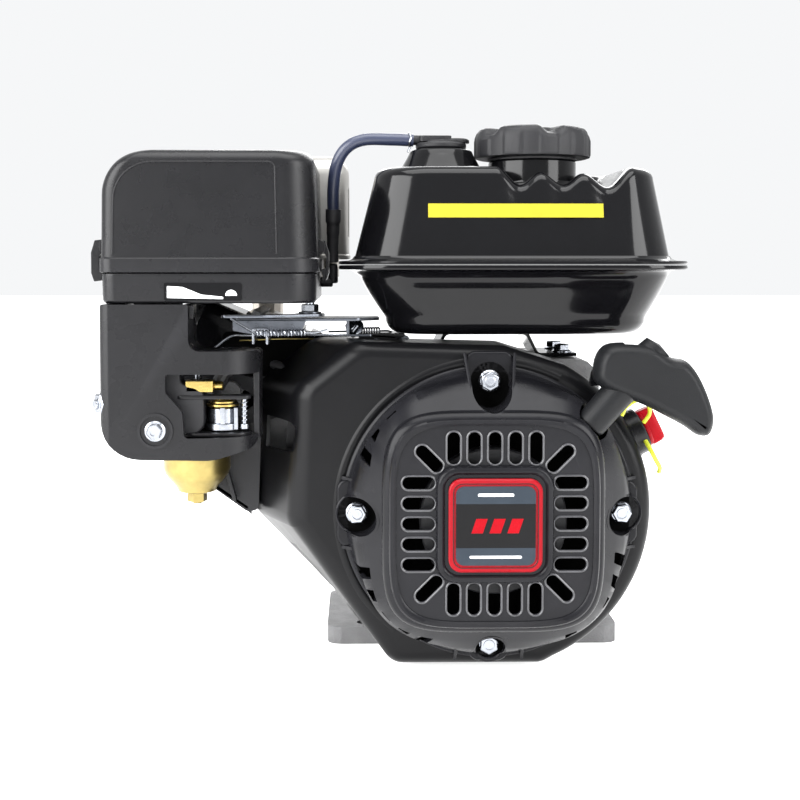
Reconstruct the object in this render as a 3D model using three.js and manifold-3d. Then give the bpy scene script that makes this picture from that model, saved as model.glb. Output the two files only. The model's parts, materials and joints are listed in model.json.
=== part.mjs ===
// Small horizontal-shaft gasoline engine: single cylinder, overhead valves, recoil starter.
// Millimetres, +Z up. The origin is the middle of the base's underside. -Y is the starter side,
// +Y the output-shaft side, and the cylinder leans towards -X.
import * as THREE from "three";
import { mergeVertices } from "three/addons/utils/BufferGeometryUtils.js";
import Module from "manifold-3d";

const wasm = await Module();
wasm.setup();

// ---------- driving dimensions ----------
const GAP = 0.3; // between touching pieces
const CRANK_Z = 106; // crankshaft axis above the base
const CYLINDER_TILT = 25; // degrees above the horizontal
const BORE_R = 34;
const THROW = 27; // half of the stroke
const ROD_LENGTH = 84; // between the connecting rod's centres
const DECK = 134; // crankshaft axis to the top of the barrel, along the cylinder
const HEAD_TOP = 196; // the same, to the rocker cover's joint
const COVER_TOP = 236; // the same, to the rocker cover's outer face

const CASE_Y = [-50, 50]; // crankcase front face and joint plane
const COVER_Y = 101; // output-side mounting face
const SHAFT_END_Y = 163;
const FAN_COVER_Y = [-112, -54];
const STARTER_FRONT_Y = -152;
const BADGE_BACK_Y = -156;
const BADGE_FRONT_Y = -158;
const STARTER_BOLT_R = 85;

const FLANGE_Z = 265; // seam of the fuel tank
const FILLER = { x: 36, y: -45 };
const VENT = { x: -27, y: -45 };

// ---------- materials ----------
function material(color, roughness, metalness) {
  return new THREE.MeshStandardMaterial({ color, roughness, metalness });
}
const castAluminium = material(0x9c9c9a, 0.6, 0.9);
const machinedSteel = material(0xb4b6b8, 0.35, 1);
const glossBlack = material(0x111214, 0.15, 0);
const blackPlastic = material(0x2b2b2d, 0.45, 0);
const blackRubber = material(0x1c1d20, 0.7, 0);
const greyRubber = material(0x3a4055, 0.5, 0);
const zincSteel = material(0xc9ccd0, 0.3, 1);
const goldZinc = material(0xc8a95a, 0.35, 1);
const brass = material(0xc9a040, 0.35, 1);
const redPlastic = material(0xd8141c, 0.35, 0);
const whiteCeramic = material(0xf0efe8, 0.3, 0);
const filterFoam = material(0x6f7072, 0.95, 0);

// ---------- shape helpers ----------
const V = (x, y, z) => new THREE.Vector3(x, y, z);
const FRONT_VIEW = new THREE.Matrix4().makeBasis(V(1, 0, 0), V(0, 0, 1), V(0, -1, 0));
const SIDE_VIEW = new THREE.Matrix4().makeBasis(V(0, 1, 0), V(0, 0, 1), V(1, 0, 0));

// A closed outline from [x, y] corners, each rounded by the radius r or by its own third number.
function outline(corners, r = 0, steps = 3) {
  const points = [];
  corners.forEach(([x, y, own], i) => {
    const radius = own ?? r;
    const here = new THREE.Vector2(x, y);
    if (!radius) return points.push(here);
    const to = (j) => {
      const [cx, cy] = corners[(j + corners.length) % corners.length];
      return new THREE.Vector2(cx, cy).sub(here).normalize();
    };
    const before = to(i - 1);
    const after = to(i + 1);
    const half = Math.acos(THREE.MathUtils.clamp(before.dot(after), -1, 1)) / 2;
    const reach = radius / Math.tan(half);
    const a = here.clone().addScaledVector(before, reach);
    const b = here.clone().addScaledVector(after, reach);
    const curve = new THREE.QuadraticBezierCurve(a, here, b);
    points.push(...curve.getPoints(steps));
  });
  return new THREE.Shape(points);
}

function rectangle(x0, x1, y0, y1, r = 0, steps = 3) {
  return outline([[x0, y0], [x1, y0], [x1, y1], [x0, y1]], r, steps);
}

function circle(x, y, r, segments = 24) {
  const points = [];
  for (let i = 0; i < segments; i++) {
    const a = (i / segments) * 2 * Math.PI;
    points.push(new THREE.Vector2(x + r * Math.cos(a), y + r * Math.sin(a)));
  }
  return new THREE.Shape(points);
}

function extrude(shape, depth, bevel = 0) {
  const bevels = { bevelEnabled: bevel > 0, bevelThickness: bevel, bevelSize: bevel };
  return new THREE.ExtrudeGeometry(shape, { depth, ...bevels, bevelOffset: -bevel, bevelSegments: 2 });
}

// A front-view (X, Z) outline given depth from y0 to y1; a bevel rounds both ends inside that depth.
function frontPlate(shape, y0, y1, bevel = 0) {
  return extrude(shape, y1 - y0 - 2 * bevel, bevel).applyMatrix4(FRONT_VIEW).translate(0, y1 - bevel, 0);
}

// A side-view (Y, Z) outline given width from x0 to x1.
function sidePlate(shape, x0, x1, bevel = 0) {
  return extrude(shape, x1 - x0 - 2 * bevel, bevel).applyMatrix4(SIDE_VIEW).translate(x0 + bevel, 0, 0);
}

// A plan (X, Y) outline given height from z0 to z1.
function planPlate(shape, z0, z1, bevel = 0) {
  return extrude(shape, z1 - z0 - 2 * bevel, bevel).translate(0, 0, z0 + bevel);
}

function box(x0, x1, y0, y1, z0, z1) {
  const g = new THREE.BoxGeometry(x1 - x0, y1 - y0, z1 - z0);
  return g.translate((x0 + x1) / 2, (y0 + y1) / 2, (z0 + z1) / 2);
}

// A cylinder, or a cone if r2 is given, between two points.
function bar(from, to, r1, segments = 20, r2 = r1) {
  const span = to.clone().sub(from);
  const turn = new THREE.Quaternion().setFromUnitVectors(V(0, 1, 0), span.clone().normalize());
  const g = new THREE.CylinderGeometry(r2, r1, span.length(), segments);
  return g.applyQuaternion(turn).translate(...from.clone().addScaledVector(span, 0.5).toArray());
}

// A cylinder along Y at (x, z).
function yBar(x, z, y0, y1, r, segments = 20, r2 = r) {
  return bar(V(x, y0, z), V(x, y1, z), r, segments, r2);
}

function zBar(x, y, z0, z1, r, segments = 20, r2 = r) {
  return bar(V(x, y, z0), V(x, y, z1), r, segments, r2);
}

// A round body along +Y on the crankshaft axis, from [radius, y] pairs going round its closed section.
function turned(profile, segments = 32) {
  const points = profile.map(([r, y]) => new THREE.Vector2(r, y));
  return new THREE.LatheGeometry(points, segments).translate(0, 0, CRANK_Z);
}

function hose(points, r, steps, sides = 10) {
  const curve = new THREE.CatmullRomCurve3(points, false, "centripetal");
  return new THREE.ExtrudeGeometry(circle(0, 0, r, sides), { extrudePath: curve, steps });
}

// A body through a stack of closed rings that have the same number of points, whichever way they turn.
function loft(rings) {
  const n = rings[0].length;
  const rise = rings.at(-1)[0].clone().sub(rings[0][0]);
  const area = V(0, 0, 0);
  rings[0].forEach((p, i) => area.add(p.clone().cross(rings[0][(i + 1) % n])));
  if (area.dot(rise) < 0) rings = rings.map((ring) => [...ring].reverse());
  const vertices = rings.flat().flatMap((p) => p.toArray());
  const faces = [];
  for (let k = 0; k + 1 < rings.length; k++) {
    for (let i = 0; i < n; i++) {
      const a = k * n + i;
      const b = k * n + ((i + 1) % n);
      faces.push(a, b, b + n, a, b + n, a + n);
    }
  }
  const last = (rings.length - 1) * n;
  for (let i = 1; i + 1 < n; i++) faces.push(0, i + 1, i, last, last + i, last + i + 1);
  const g = new THREE.BufferGeometry();
  g.setAttribute("position", new THREE.Float32BufferAttribute(vertices, 3));
  g.setIndex(faces);
  return g;
}

// A loft of rounded rectangles: each level is [z, x0, x1, y0, y1, corner radius].
function planLoft(levels, steps = 4) {
  return loft(levels.map(([z, x0, x1, y0, y1, r]) =>
    rectangle(x0, x1, y0, y1, r, steps).getPoints().slice(0, 4 * (steps + 1)).map((p) => V(p.x, p.y, z))));
}

// The same levels moved in by a wall thickness.
function inset(levels, wall) {
  return levels.map(([z, x0, x1, y0, y1, r]) => [z, x0 + wall, x1 - wall, y0 + wall, y1 - wall, r - wall]);
}

// ---------- booleans ----------
function solid(geometry) {
  const bare = geometry.index ? geometry.toNonIndexed() : geometry.clone();
  const loose = new THREE.BufferGeometry().setAttribute("position", bare.getAttribute("position"));
  const merged = mergeVertices(loose, 1e-3);
  const faces = merged.index.array;
  const kept = [];
  for (let i = 0; i < faces.length; i += 3) {
    const [a, b, c] = [faces[i], faces[i + 1], faces[i + 2]];
    if (a !== b && b !== c && c !== a) kept.push(a, b, c);
  }
  return new wasm.Manifold(new wasm.Mesh({
    numProp: 3,
    vertProperties: merged.attributes.position.array,
    triVerts: new Uint32Array(kept),
  }));
}

function geometryOf(body) {
  const mesh = body.getMesh();
  const g = new THREE.BufferGeometry();
  g.setAttribute("position", new THREE.BufferAttribute(mesh.vertProperties, 3));
  g.setIndex(new THREE.BufferAttribute(mesh.triVerts, 1));
  return g;
}

const join = (...pieces) => geometryOf(pieces.map(solid).reduce((a, b) => a.add(b)));
const cut = (body, ...tools) => geometryOf(tools.map(solid).reduce((a, b) => a.subtract(b), solid(body)));
const common = (a, b) => geometryOf(solid(a).intersect(solid(b)));

// ---------- assembly ----------
const engine = new THREE.Group();
// The cylinder's own frame: +Z runs from the crankshaft axis to the head, +X is its upper side.
const cylinderFrame = new THREE.Group();
cylinderFrame.rotation.y = THREE.MathUtils.degToRad(CYLINDER_TILT - 90);
cylinderFrame.position.z = CRANK_Z;
engine.add(cylinderFrame);
cylinderFrame.updateMatrix();
const tilted = (geometry) => geometry.applyMatrix4(cylinderFrame.matrix);

function part(name, geometry, look, parent = engine) {
  const plain = geometry.index ? geometry.toNonIndexed() : geometry;
  plain.computeVertexNormals();
  const mesh = new THREE.Mesh(plain, look);
  mesh.name = name;
  parent.add(mesh);
}

const GOVERNOR = { x: -52, z: 184, top: 217 };

// ---------- crankcase ----------
const CASE = { x: [-72, 83], z: [0, 200], wall: 10 };
const CAM = { u: -10, v: 53.07, r: 6.5 }; // in the cylinder's frame
const camPoint = V(CAM.v, 0, CAM.u).applyMatrix4(cylinderFrame.matrix);
const LOBES = [{ name: "intake", y: -26.5 }, { name: "exhaust", y: 25.5 }];
const PUSHROD_LEAN = Math.atan2(CAM.v - 34.5, 198 - CAM.u);
const pushrodPoint = (distance, y) =>
  V(CAM.v - distance * Math.sin(PUSHROD_LEAN), y, CAM.u + distance * Math.cos(PUSHROD_LEAN));
const pushrodTunnels = () => LOBES.map(({ y }) => bar(pushrodPoint(50, y), pushrodPoint(212, y), 5.8, 10));
const DIPSTICK = { at: V(90, 30, 52), along: V(0.94, 0, 0.342) };
const dipstickPoint = (distance) => DIPSTICK.at.clone().addScaledVector(DIPSTICK.along, distance);

function crankcase() {
  const [x0, x1] = CASE.x;
  const w = CASE.wall;
  const shell = frontPlate(rectangle(x0, x1, 0.5, CASE.z[1], 18), ...CASE_Y);
  const base = planPlate(rectangle(-106, 98, -50, 50, 10), 0, 12);
  const barrel = tilted(zBar(0, 0, 40, DECK, 42, 20));
  const tubes = LOBES.map(({ y }) => tilted(bar(pushrodPoint(62, y), pushrodPoint(141, y), 8.6, 10)));
  const deck = tilted(box(-50, 50, -46, 46, DECK - 7, DECK));
  const fins = [];
  for (let u = 80; u < DECK - 10; u += 9.4) fins.push(tilted(box(-52, 50, -46, 46, u, u + 2.6)));
  const oilBoss = bar(dipstickPoint(-28), dipstickPoint(-0.3), 15, 20);
  const body = join(shell, base, barrel, deck, ...tubes, ...fins, oilBoss);
  const cavity = frontPlate(rectangle(x0 + w, x1 - w, 12, CASE.z[1] - 9, 12), CASE_Y[0] + 16,
    CASE_Y[1] + 1);
  const hollow = cut(body, cavity);
  const sleeve = tilted(zBar(0, 0, 56, 84, 39, 24));
  const holes = [-81, 81].flatMap((x) => [-37.75, 37.75].map((y) => zBar(x, y, -1, 13, 4.5, 12)));
  return cut(
    join(hollow, sleeve),
    tilted(zBar(0, 0, 20, DECK + 1, BORE_R, 28)),
    turned([[0, -49], [26.3, -49], [26.3, -33], [0, -33]], 28),
    yBar(GOVERNOR.x, GOVERNOR.z, -51, -42, 4.4, 12),
    turned([[0, -51], [14, -51], [14, -40], [0, -40]], 20),
    yBar(camPoint.x, camPoint.z, -43, -33, CAM.r + GAP, 16),
    ...pushrodTunnels().map(tilted),
    ...holes,
    bar(dipstickPoint(-60), dipstickPoint(1), 8.5, 16),
  );
}
part("crankcase", crankcase(), castAluminium);

function crankcaseCover() {
  const [x0, x1] = CASE.x;
  const plate = frontPlate(rectangle(x0, x1, 12.5, CASE.z[1], 18), CASE_Y[1] + GAP, 64);
  const nose = turned([[0, 60], [60, 60], [60, 80], [55, COVER_Y], [0, COVER_Y]], 36);
  const cavity = frontPlate(rectangle(x0 + 12, x1 - 12, 24, CASE.z[1] - 11, 12), 49, 56);
  const camBoss = yBar(camPoint.x, camPoint.z, 54, 64, 12, 16);
  const body = join(cut(join(plate, nose), cavity), camBoss);
  const bolts = [45, 135, 225, 315].map((angle) => {
    const a = THREE.MathUtils.degToRad(angle);
    return yBar(46 * Math.cos(a), CRANK_Z + 46 * Math.sin(a), 84, COVER_Y + 1, 4, 12);
  });
  return cut(
    body,
    turned([[0, 49], [26.3, 49], [26.3, 82], [20, 82], [20, COVER_Y + 1], [0, COVER_Y + 1]], 28),
    yBar(camPoint.x, camPoint.z, 49, 61, CAM.r + GAP, 16),
    ...bolts,
  );
}
part("crankcase_cover", crankcaseCover(), castAluminium);

const ring = (inner, outer, y0, y1, segments = 28) =>
  turned([[inner, y0], [outer, y0], [outer, y1], [inner, y1], [inner, y0]], segments);
part("front_main_bearing", ring(12.8, 26, -48.7, -34.3), machinedSteel);
part("rear_main_bearing", ring(12.8, 26, 67, 81.7), machinedSteel);

// ---------- crank train ----------
const pinTop = V(0, 0, THROW);

function web(y0, y1) {
  // A counterweight opposite the crank pin and a cheek that reaches round it.
  const weight = outline([[-41, 4], [-35, -21], [-17, -36], [17, -36], [35, -21], [41, 4]], 6);
  const cheek = outline([[-30, 0], [-15, 40], [15, 40], [30, 0]], 8);
  return tilted(join(frontPlate(weight, y0, y1), frontPlate(cheek, y0, y1)));
}

const GEAR = { module: 3, crank: 12, y: [31, 41] };
function gear(x, z, teeth, y0, y1, turn) {
  const pitch = (GEAR.module * teeth) / 2;
  const points = [];
  for (let i = 0; i < teeth; i++) {
    const middle = turn + (i / teeth) * 2 * Math.PI;
    for (const [r, half] of [[pitch - 2.7, -2.1], [pitch + 2.1, -0.8], [pitch + 2.1, 0.8], [pitch - 2.7,
      2.1]]) {
      const a = middle + half / r;
      points.push(new THREE.Vector2(x + r * Math.cos(a), z + r * Math.sin(a)));
    }
  }
  return frontPlate(new THREE.Shape(points), y0, y1);
}

const meshAngle = Math.atan2(camPoint.z - CRANK_Z, camPoint.x);
const halfTooth = (teeth) => Math.PI / teeth;

function crankshaftFront() {
  const profile = [[0, -104], [6, -104], [6, -92], [8.5, -91], [12.5, -52], [12.5, -21], [0, -21]];
  return join(turned(profile, 24), web(-22, -10.4));
}
part("crankshaft_front", crankshaftFront(), machinedSteel);

function crankshaftRear() {
  const journal = turned([[0, 21], [12.5, 21], [12.5, 83], [9.525, 84], [9.525, SHAFT_END_Y], [0,
    SHAFT_END_Y]], 24);
  const timing = gear(0, CRANK_Z, GEAR.crank, ...GEAR.y, meshAngle + halfTooth(GEAR.crank));
  const keyway = box(-2.4, 2.4, 112, SHAFT_END_Y + 1, CRANK_Z + 7, CRANK_Z + 12);
  return cut(join(journal, web(10.4, 22), timing), keyway);
}
part("crankshaft_rear", crankshaftRear(), machinedSteel);
part("crank_pin", bar(V(0, -10.1, THROW), V(0, 10.1, THROW), 14, 24), machinedSteel, cylinderFrame);

function camshaft() {
  const { x, z } = camPoint;
  const lobe = (y, turn) => {
    const tip = V(11 * Math.cos(turn), 0, 11 * Math.sin(turn));
    return [yBar(x, z, y - 3, y + 3, 10, 20), yBar(x + tip.x, z + tip.z, y - 3, y + 3, 5, 12)];
  };
  return join(
    yBar(x, z, -42, 59, CAM.r, 16),
    ...lobe(LOBES[0].y, 0.6),
    ...lobe(LOBES[1].y, -1.2),
    gear(x, z, 2 * GEAR.crank, ...GEAR.y, meshAngle + Math.PI),
  );
}
part("camshaft", camshaft(), machinedSteel);

const WRIST = THROW + ROD_LENGTH; // wrist pin from the crankshaft axis, at top dead centre
const eye = (u, r, y, segments = 24) => bar(V(0, -y, u), V(0, y, u), r, segments);
function connectingRod() {
  const shank = frontPlate(outline([[-9, THROW + 14], [9, THROW + 14], [7, WRIST - 8], [-7,
    WRIST - 8]]), -6, 6);
  const body = join(shank, eye(THROW, 19.5, 10), eye(WRIST, 12.5, 10));
  return cut(body, eye(THROW, 14.3, 11), eye(WRIST, 9.3, 11));
}
part("connecting_rod", connectingRod(), castAluminium, cylinderFrame);

function piston() {
  const blank = zBar(0, 0, WRIST - 19, WRIST + 22, BORE_R - GAP, 28);
  const inside = zBar(0, 0, WRIST - 23, WRIST + 15, 29, 24);
  const bosses = [-1, 1].map((side) => box(-13, 13, Math.min(side * 12, side * 31), Math.max(side * 12,
    side * 31), WRIST - 14, WRIST + 16));
  return cut(join(cut(blank, inside), ...bosses), eye(WRIST, 9.3, 40));
}
part("piston", piston(), castAluminium, cylinderFrame);
part("wrist_pin", eye(WRIST, 9, 29), machinedSteel, cylinderFrame);

// ---------- cylinder head and valve gear ----------
const VALVE = { v: -6, y: 16, seat: 144.6, tip: 213 };
const PORT_U = 168;
const PIVOT = { v: 14, u: 217 };
const PLUG = { from: V(-26, 6, 142), along: V(-0.27, 0.88, 0.39).normalize() };
const plugPoint = (distance) => PLUG.from.clone().addScaledVector(PLUG.along, distance);

function cylinderHead() {
  const block = box(-48, 50, -46, 46, DECK + 0.6, HEAD_TOP);
  const studs = LOBES.map(({ y }) => zBar(PIVOT.v, Math.sign(y) * 20, HEAD_TOP - 1, 227, 3.5, 12));
  const grooves = [];
  for (let u = DECK + 10; u < HEAD_TOP - 8; u += 10.4) {
    grooves.push(box(-49, -34, -47, 47, u, u + 5), box(47, 51, -47, 47, u, u + 5));
  }
  const ports = [-1, 1].flatMap((side) => [
    zBar(VALVE.v, side * VALVE.y, VALVE.seat - 1, PORT_U + 8, 11, 20),
    bar(V(VALVE.v, side * VALVE.y, PORT_U), V(VALVE.v, side * 47, PORT_U), 11, 20),
    zBar(VALVE.v, side * VALVE.y, VALVE.seat - 1, HEAD_TOP + 1, 3.1, 12),
  ]);
  return cut(
    join(block, ...studs),
    zBar(0, 0, DECK, VALVE.seat, 31, 28),
    ...grooves,
    ...ports,
    ...pushrodTunnels(),
    bar(plugPoint(-4), plugPoint(60), 7.4, 16),
  );
}
part("cylinder_head", cylinderHead(), castAluminium, cylinderFrame);

function rockerCover() {
  const levels = [
    [HEAD_TOP + 0.6, -40, 46, -42, 42, 14], [HEAD_TOP + 4, -40, 46, -42, 42, 14],
    [HEAD_TOP + 4, -37, 43, -39, 39, 14], [COVER_TOP - 8, -36, 42, -38, 38, 13], [COVER_TOP, -30, 36,
      -32, 32, 11],
  ];
  const inner = [[HEAD_TOP, -34, 40, -36, 36, 12], [COVER_TOP - 9, -33, 39, -35, 35, 11],
    [COVER_TOP - 3, -28, 34, -30, 30, 9]];
  return cut(planLoft(levels), planLoft(inner));
}
part("rocker_cover", rockerCover(), glossBlack, cylinderFrame);

LOBES.forEach(({ name, y }) => {
  const side = Math.sign(y);
  const at = side * VALVE.y;
  part(`${name}_valve`, join(
    zBar(VALVE.v, at, VALVE.seat - 3.3, VALVE.seat - GAP, 13, 24),
    zBar(VALVE.v, at, VALVE.seat - 1, VALVE.tip, 2.75, 12),
  ), machinedSteel, cylinderFrame);
  part(`${name}_pushrod`, join(
    bar(pushrodPoint(17, y), pushrodPoint(26, y), 5, 12),
    bar(pushrodPoint(25, y), pushrodPoint(PIVOT.u - 4 - CAM.u, y), 3, 10),
  ), machinedSteel, cylinderFrame);
  const arm = box(-10, 37.5, side > 0 ? 12.5 : -30, side > 0 ? 30 : -12.5, PIVOT.u - 3, PIVOT.u + 3);
  part(`${name}_rocker`, cut(arm, zBar(PIVOT.v, side * 20, PIVOT.u - 4, PIVOT.u + 4, 5, 14)),
    machinedSteel, cylinderFrame);
});

part("spark_plug", join(
  bar(plugPoint(0), plugPoint(53), 6.9, 16),
  bar(plugPoint(51.5), plugPoint(60), 10.4, 6),
  bar(plugPoint(56), plugPoint(84), 5, 14),
), whiteCeramic, cylinderFrame);
part("spark_plug_cap", cut(
  join(bar(plugPoint(63), plugPoint(96), 9.5, 16), bar(plugPoint(88), plugPoint(88).add(V(30, 0, -4)),
    7, 14)),
  bar(plugPoint(62), plugPoint(85), 5.4, 14),
), blackRubber, cylinderFrame);

// ---------- flywheel, fan and coil ----------
function flywheel() {
  const disc = turned([[0, -91.5], [22, -91.5], [22, -86], [66, -86], [66, -91.5], [84, -91.5], [84,
    -62], [72, -62], [72, -76], [22, -76], [22, -60], [0, -60]], 40);
  return cut(disc, turned([[0, -92.5], [8.8, -92.5], [12.8, -53], [0, -53]], 24));
}
part("flywheel", flywheel(), castAluminium);

const FAN_BLADES = 14;
function coolingFan() {
  const blades = [];
  for (let i = 0; i < FAN_BLADES; i++) {
    const blade = box(46, 80, -108.5, -95, -1.3, 1.3);
    blades.push(blade.rotateY((i / FAN_BLADES) * 2 * Math.PI).translate(0, 0, CRANK_Z));
  }
  return join(ring(38, 82, -95.5, -92, 40), ...blades);
}
part("cooling_fan", coolingFan(), blackPlastic);
part("starter_cup", turned([[6.6, -91.9], [6.6, -95], [28, -95], [28, -122], [30, -122], [30, -91.9],
  [6.6, -91.9]], 28), zincSteel);

part("ignition_coil", join(
  frontPlate(outline([[-98, 128], [-86, 128], [-66, 172], [-76, 178]]), -82, -68),
  frontPlate(rectangle(-122, -92, 134, 166, 5), -88, -62, 3),
), blackPlastic);


// ---------- fan cover ----------
const FAN_OUTLINE_R = 107;
function fanCoverOutline(grow, wing) {
  // An arc round the crankshaft on the right, a flat foot, and a straight-sided wing over the cylinder
  // that reaches to x = wing.
  const r = FAN_OUTLINE_R - grow;
  const points = [];
  for (let angle = -66; angle <= 62; angle += 8) {
    const a = THREE.MathUtils.degToRad(angle);
    points.push([r * Math.cos(a), CRANK_Z + r * Math.sin(a), 0]);
  }
  const g = grow;
  return outline([
    [-62 + g * 0.3, 4 + g, 12], [36, 4 + g, 10], ...points,
    [10, 213 - g, 20], [wing + 42, 216 - g, 22], [wing + 4 + g, 186, 18], [wing + g, 98, 14],
  ], 0, 4);
}
function fanCover() {
  const [y0, y1] = FAN_COVER_Y;
  const ringAt = (y, grow) => {
    const wing = THREE.MathUtils.mapLinear(y, y0 + 4, y1, -128, -156);
    return fanCoverOutline(grow, wing).getPoints().map((p) => V(p.x, y, p.y));
  };
  const outer = loft([ringAt(y1, 0), ringAt(y0 + 10, 0), ringAt(y0 + 3, 2.5), ringAt(y0, 9)]);
  const inner = loft([ringAt(y1 + 1, 2.2), ringAt(y0 + 11, 2.2), ringAt(y0 + 5, 4), ringAt(y0 + 2.2, 8)]);
  return cut(outer, inner, yBar(0, CRANK_Z, y0 - 5, y0 + 20, 78, 32));
}
part("fan_cover", fanCover(), glossBlack);

// ---------- recoil starter ----------
const boltPlaces = [0, 90, 180, 270].map((angle) => {
  const a = THREE.MathUtils.degToRad(angle);
  return { x: STARTER_BOLT_R * Math.cos(a), z: CRANK_Z + STARTER_BOLT_R * Math.sin(a) };
});
const PULL = { at: V(60, -136, 164), along: V(Math.cos(0.86), 0, Math.sin(0.86)) };
const pullPoint = (distance) => PULL.at.clone().addScaledVector(PULL.along, distance);

// A front-view ring that blends from a circle (square 0) to a rounded square (square 1).
function starterRing(y, half, square, points = 32) {
  const result = [];
  for (let i = 0; i < points; i++) {
    const a = (i / points) * 2 * Math.PI;
    const power = 2 + 2.6 * square;
    const c = Math.cos(a);
    const s = Math.sin(a);
    const r = half / (Math.abs(c) ** power + Math.abs(s) ** power) ** (1 / power);
    result.push(V(r * c, y, CRANK_Z + r * s));
  }
  return result;
}

function starterHousing() {
  const back = FAN_COVER_Y[0] - GAP;
  const front = STARTER_FRONT_Y;
  const wall = 2.6;
  const outer = loft([
    starterRing(back, 96, 0), starterRing(back - 3, 96, 0), starterRing(back - 3.2, 93, 0),
    starterRing(back - 12, 90, 0.1), starterRing(front + 8, 70, 1), starterRing(front, 65, 1),
  ]);
  const inner = loft([
    starterRing(back + 1, 90, 0), starterRing(back - 10, 87, 0.1),
    starterRing(front + 9, 66.6, 1), starterRing(front + wall, 62, 1),
  ]);
  const pocket = (r, y) => boltPlaces.map(({ x, z }) => yBar(x, z, front - 2, y, r, 12));
  const shell = cut(cut(outer, ...pocket(12.5, back - 3)), cut(inner, ...pocket(15, back - 0.8)));
  const badgeSeat = frontPlate(rectangle(-35, 35, CRANK_Z - 35, CRANK_Z + 35, 12), BADGE_BACK_Y + GAP,
    front + 1);
  const post = yBar(0, CRANK_Z, front + 1, -128, 7, 16);
  const slots = [];
  for (const side of [0, 1, 2, 3]) {
    for (let k = -2; k <= 2; k++) slots.push(slot(47.5, k * 13.3, side * 90));
    slots.push(slot(57.5, 0, side * 90 + 45));
  }
  return cut(
    join(shell, badgeSeat, post),
    ...slots,
    ...boltPlaces.map(({ x, z }) => yBar(x, z, back - 10, back + 2, 3.3, 10)),
    bar(pullPoint(-26), pullPoint(14), 4.5, 12),
    bar(pullPoint(-0.8), pullPoint(60), 11.8, 16),
  );
}
function slot(distance, along, angle) {
  const shape = rectangle(distance - 10, distance + 10, along - 4.4, along + 4.4, 4.3, 1);
  const plate = frontPlate(shape, STARTER_FRONT_Y - 2, STARTER_FRONT_Y + 4);
  return plate.rotateY(-THREE.MathUtils.degToRad(angle)).translate(0, 0, CRANK_Z);
}
part("starter_housing", starterHousing(), blackPlastic);

part("badge_plate", frontPlate(rectangle(-29, 29, CRANK_Z - 29, CRANK_Z + 29, 9), BADGE_FRONT_Y,
  BADGE_BACK_Y), redPlastic);

part("starter_reel", turned([
  [7.4, -147], [30, -147], [46, -145.5], [46, -144], [34, -143], [34, -134], [46, -133], [46, -131],
    [7.4, -131], [7.4, -147],
], 36), blackPlastic);
part("starter_rope", ring(34.4, 42, -142.6, -134.4, 32), blackRubber);

function starterGrip() {
  // A hooked T-handle: the stem lies along the rope, and the head sweeps out to the right and down.
  const stem = bar(pullPoint(1), pullPoint(48), 9.6, 20, 10.5);
  const head = frontPlate(outline([
    [66, 187, 6], [64, 204, 8], [74, 217, 8], [98, 217, 8], [120, 207, 8], [135, 186, 8], [139, 167, 8],
      [127, 160, 8],
    [108, 172, 8], [92, 176, 6],
  ], 6, 3), PULL.at.y - 13, PULL.at.y + 13, 3);
  return join(stem, head);
}
part("starter_grip", starterGrip(), blackPlastic);

// ---------- fuel tank ----------
const LOWER_TANK = [
  [219, -56, 105, -96, 20, 26], [224, -64, 111, -101, 25, 30], [240, -74, 118, -106, 30, 32],
  [FLANGE_Z - 3, -84, 124, -110, 34, 34], [FLANGE_Z - 2.8, -95, 134, -120, 44, 40], [FLANGE_Z, -95, 134,
    -120, 44, 40],
];
const UPPER_TANK = [
  [FLANGE_Z + GAP, -95, 134, -120, 44, 40], [FLANGE_Z + 2.8, -95, 134, -120, 44, 40],
  [FLANGE_Z + 3, -86, 123, -112, 36, 34], [318, -75, 115, -104, 28, 30], [326, -71, 111, -100, 24, 28],
    [329.5, -63, 103, -92, 16, 24],
];
const TANK_WALL = 2;

function lowerTank() {
  const levels = inset(LOWER_TANK.slice(0, 4), TANK_WALL);
  levels[0][0] += TANK_WALL;
  levels.push([FLANGE_Z + 1, ...levels[3].slice(1)]);
  return cut(planLoft(LOWER_TANK), planLoft(levels));
}
part("fuel_tank_lower", lowerTank(), glossBlack);

function upperTank() {
  const levels = inset(UPPER_TANK.slice(2), TANK_WALL);
  levels[0][0] = FLANGE_Z - 1;
  levels.at(-1)[0] -= TANK_WALL;
  const boss = zBar(VENT.x, VENT.y, 326, 344, 28, 24, 20);
  const trough = (grow) => planPlate(rectangle(8 - grow, 100 + grow, -130, 4 + grow, 8), 317 - grow, 340);
  const shell = join(cut(planLoft(UPPER_TANK), trough(0)), boss);
  const neck = zBar(FILLER.x, FILLER.y, 315.5, 336, 29, 28);
  const hollow = cut(shell, cut(planLoft(levels), trough(TANK_WALL)));
  return cut(
    join(hollow, neck),
    zBar(FILLER.x, FILLER.y, 310, 337, 26.5, 28),
    zBar(VENT.x, VENT.y, 320, 345, 4, 12),
  );
}
part("fuel_tank_upper", upperTank(), glossBlack);
part("fuel_cap_seal", zBar(FILLER.x, FILLER.y, 336.3, 339.7, 30.5, 28), blackRubber);
part("fuel_cap", cut(
  join(zBar(FILLER.x, FILLER.y, 337.5, 354, 40, 32), zBar(FILLER.x, FILLER.y, 354, 358.5, 38, 32, 34)),
  zBar(FILLER.x, FILLER.y, 336, 340, 31, 28),
), blackPlastic);
part("tank_vent", join(
  zBar(VENT.x, VENT.y, 344.3, 349, 16.5, 24), zBar(VENT.x, VENT.y, 348.5, 354, 11, 20),
  bar(V(VENT.x, VENT.y, 350.5), V(VENT.x - 28, VENT.y, 350.5), 2.8, 10),
), blackPlastic);
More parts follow.
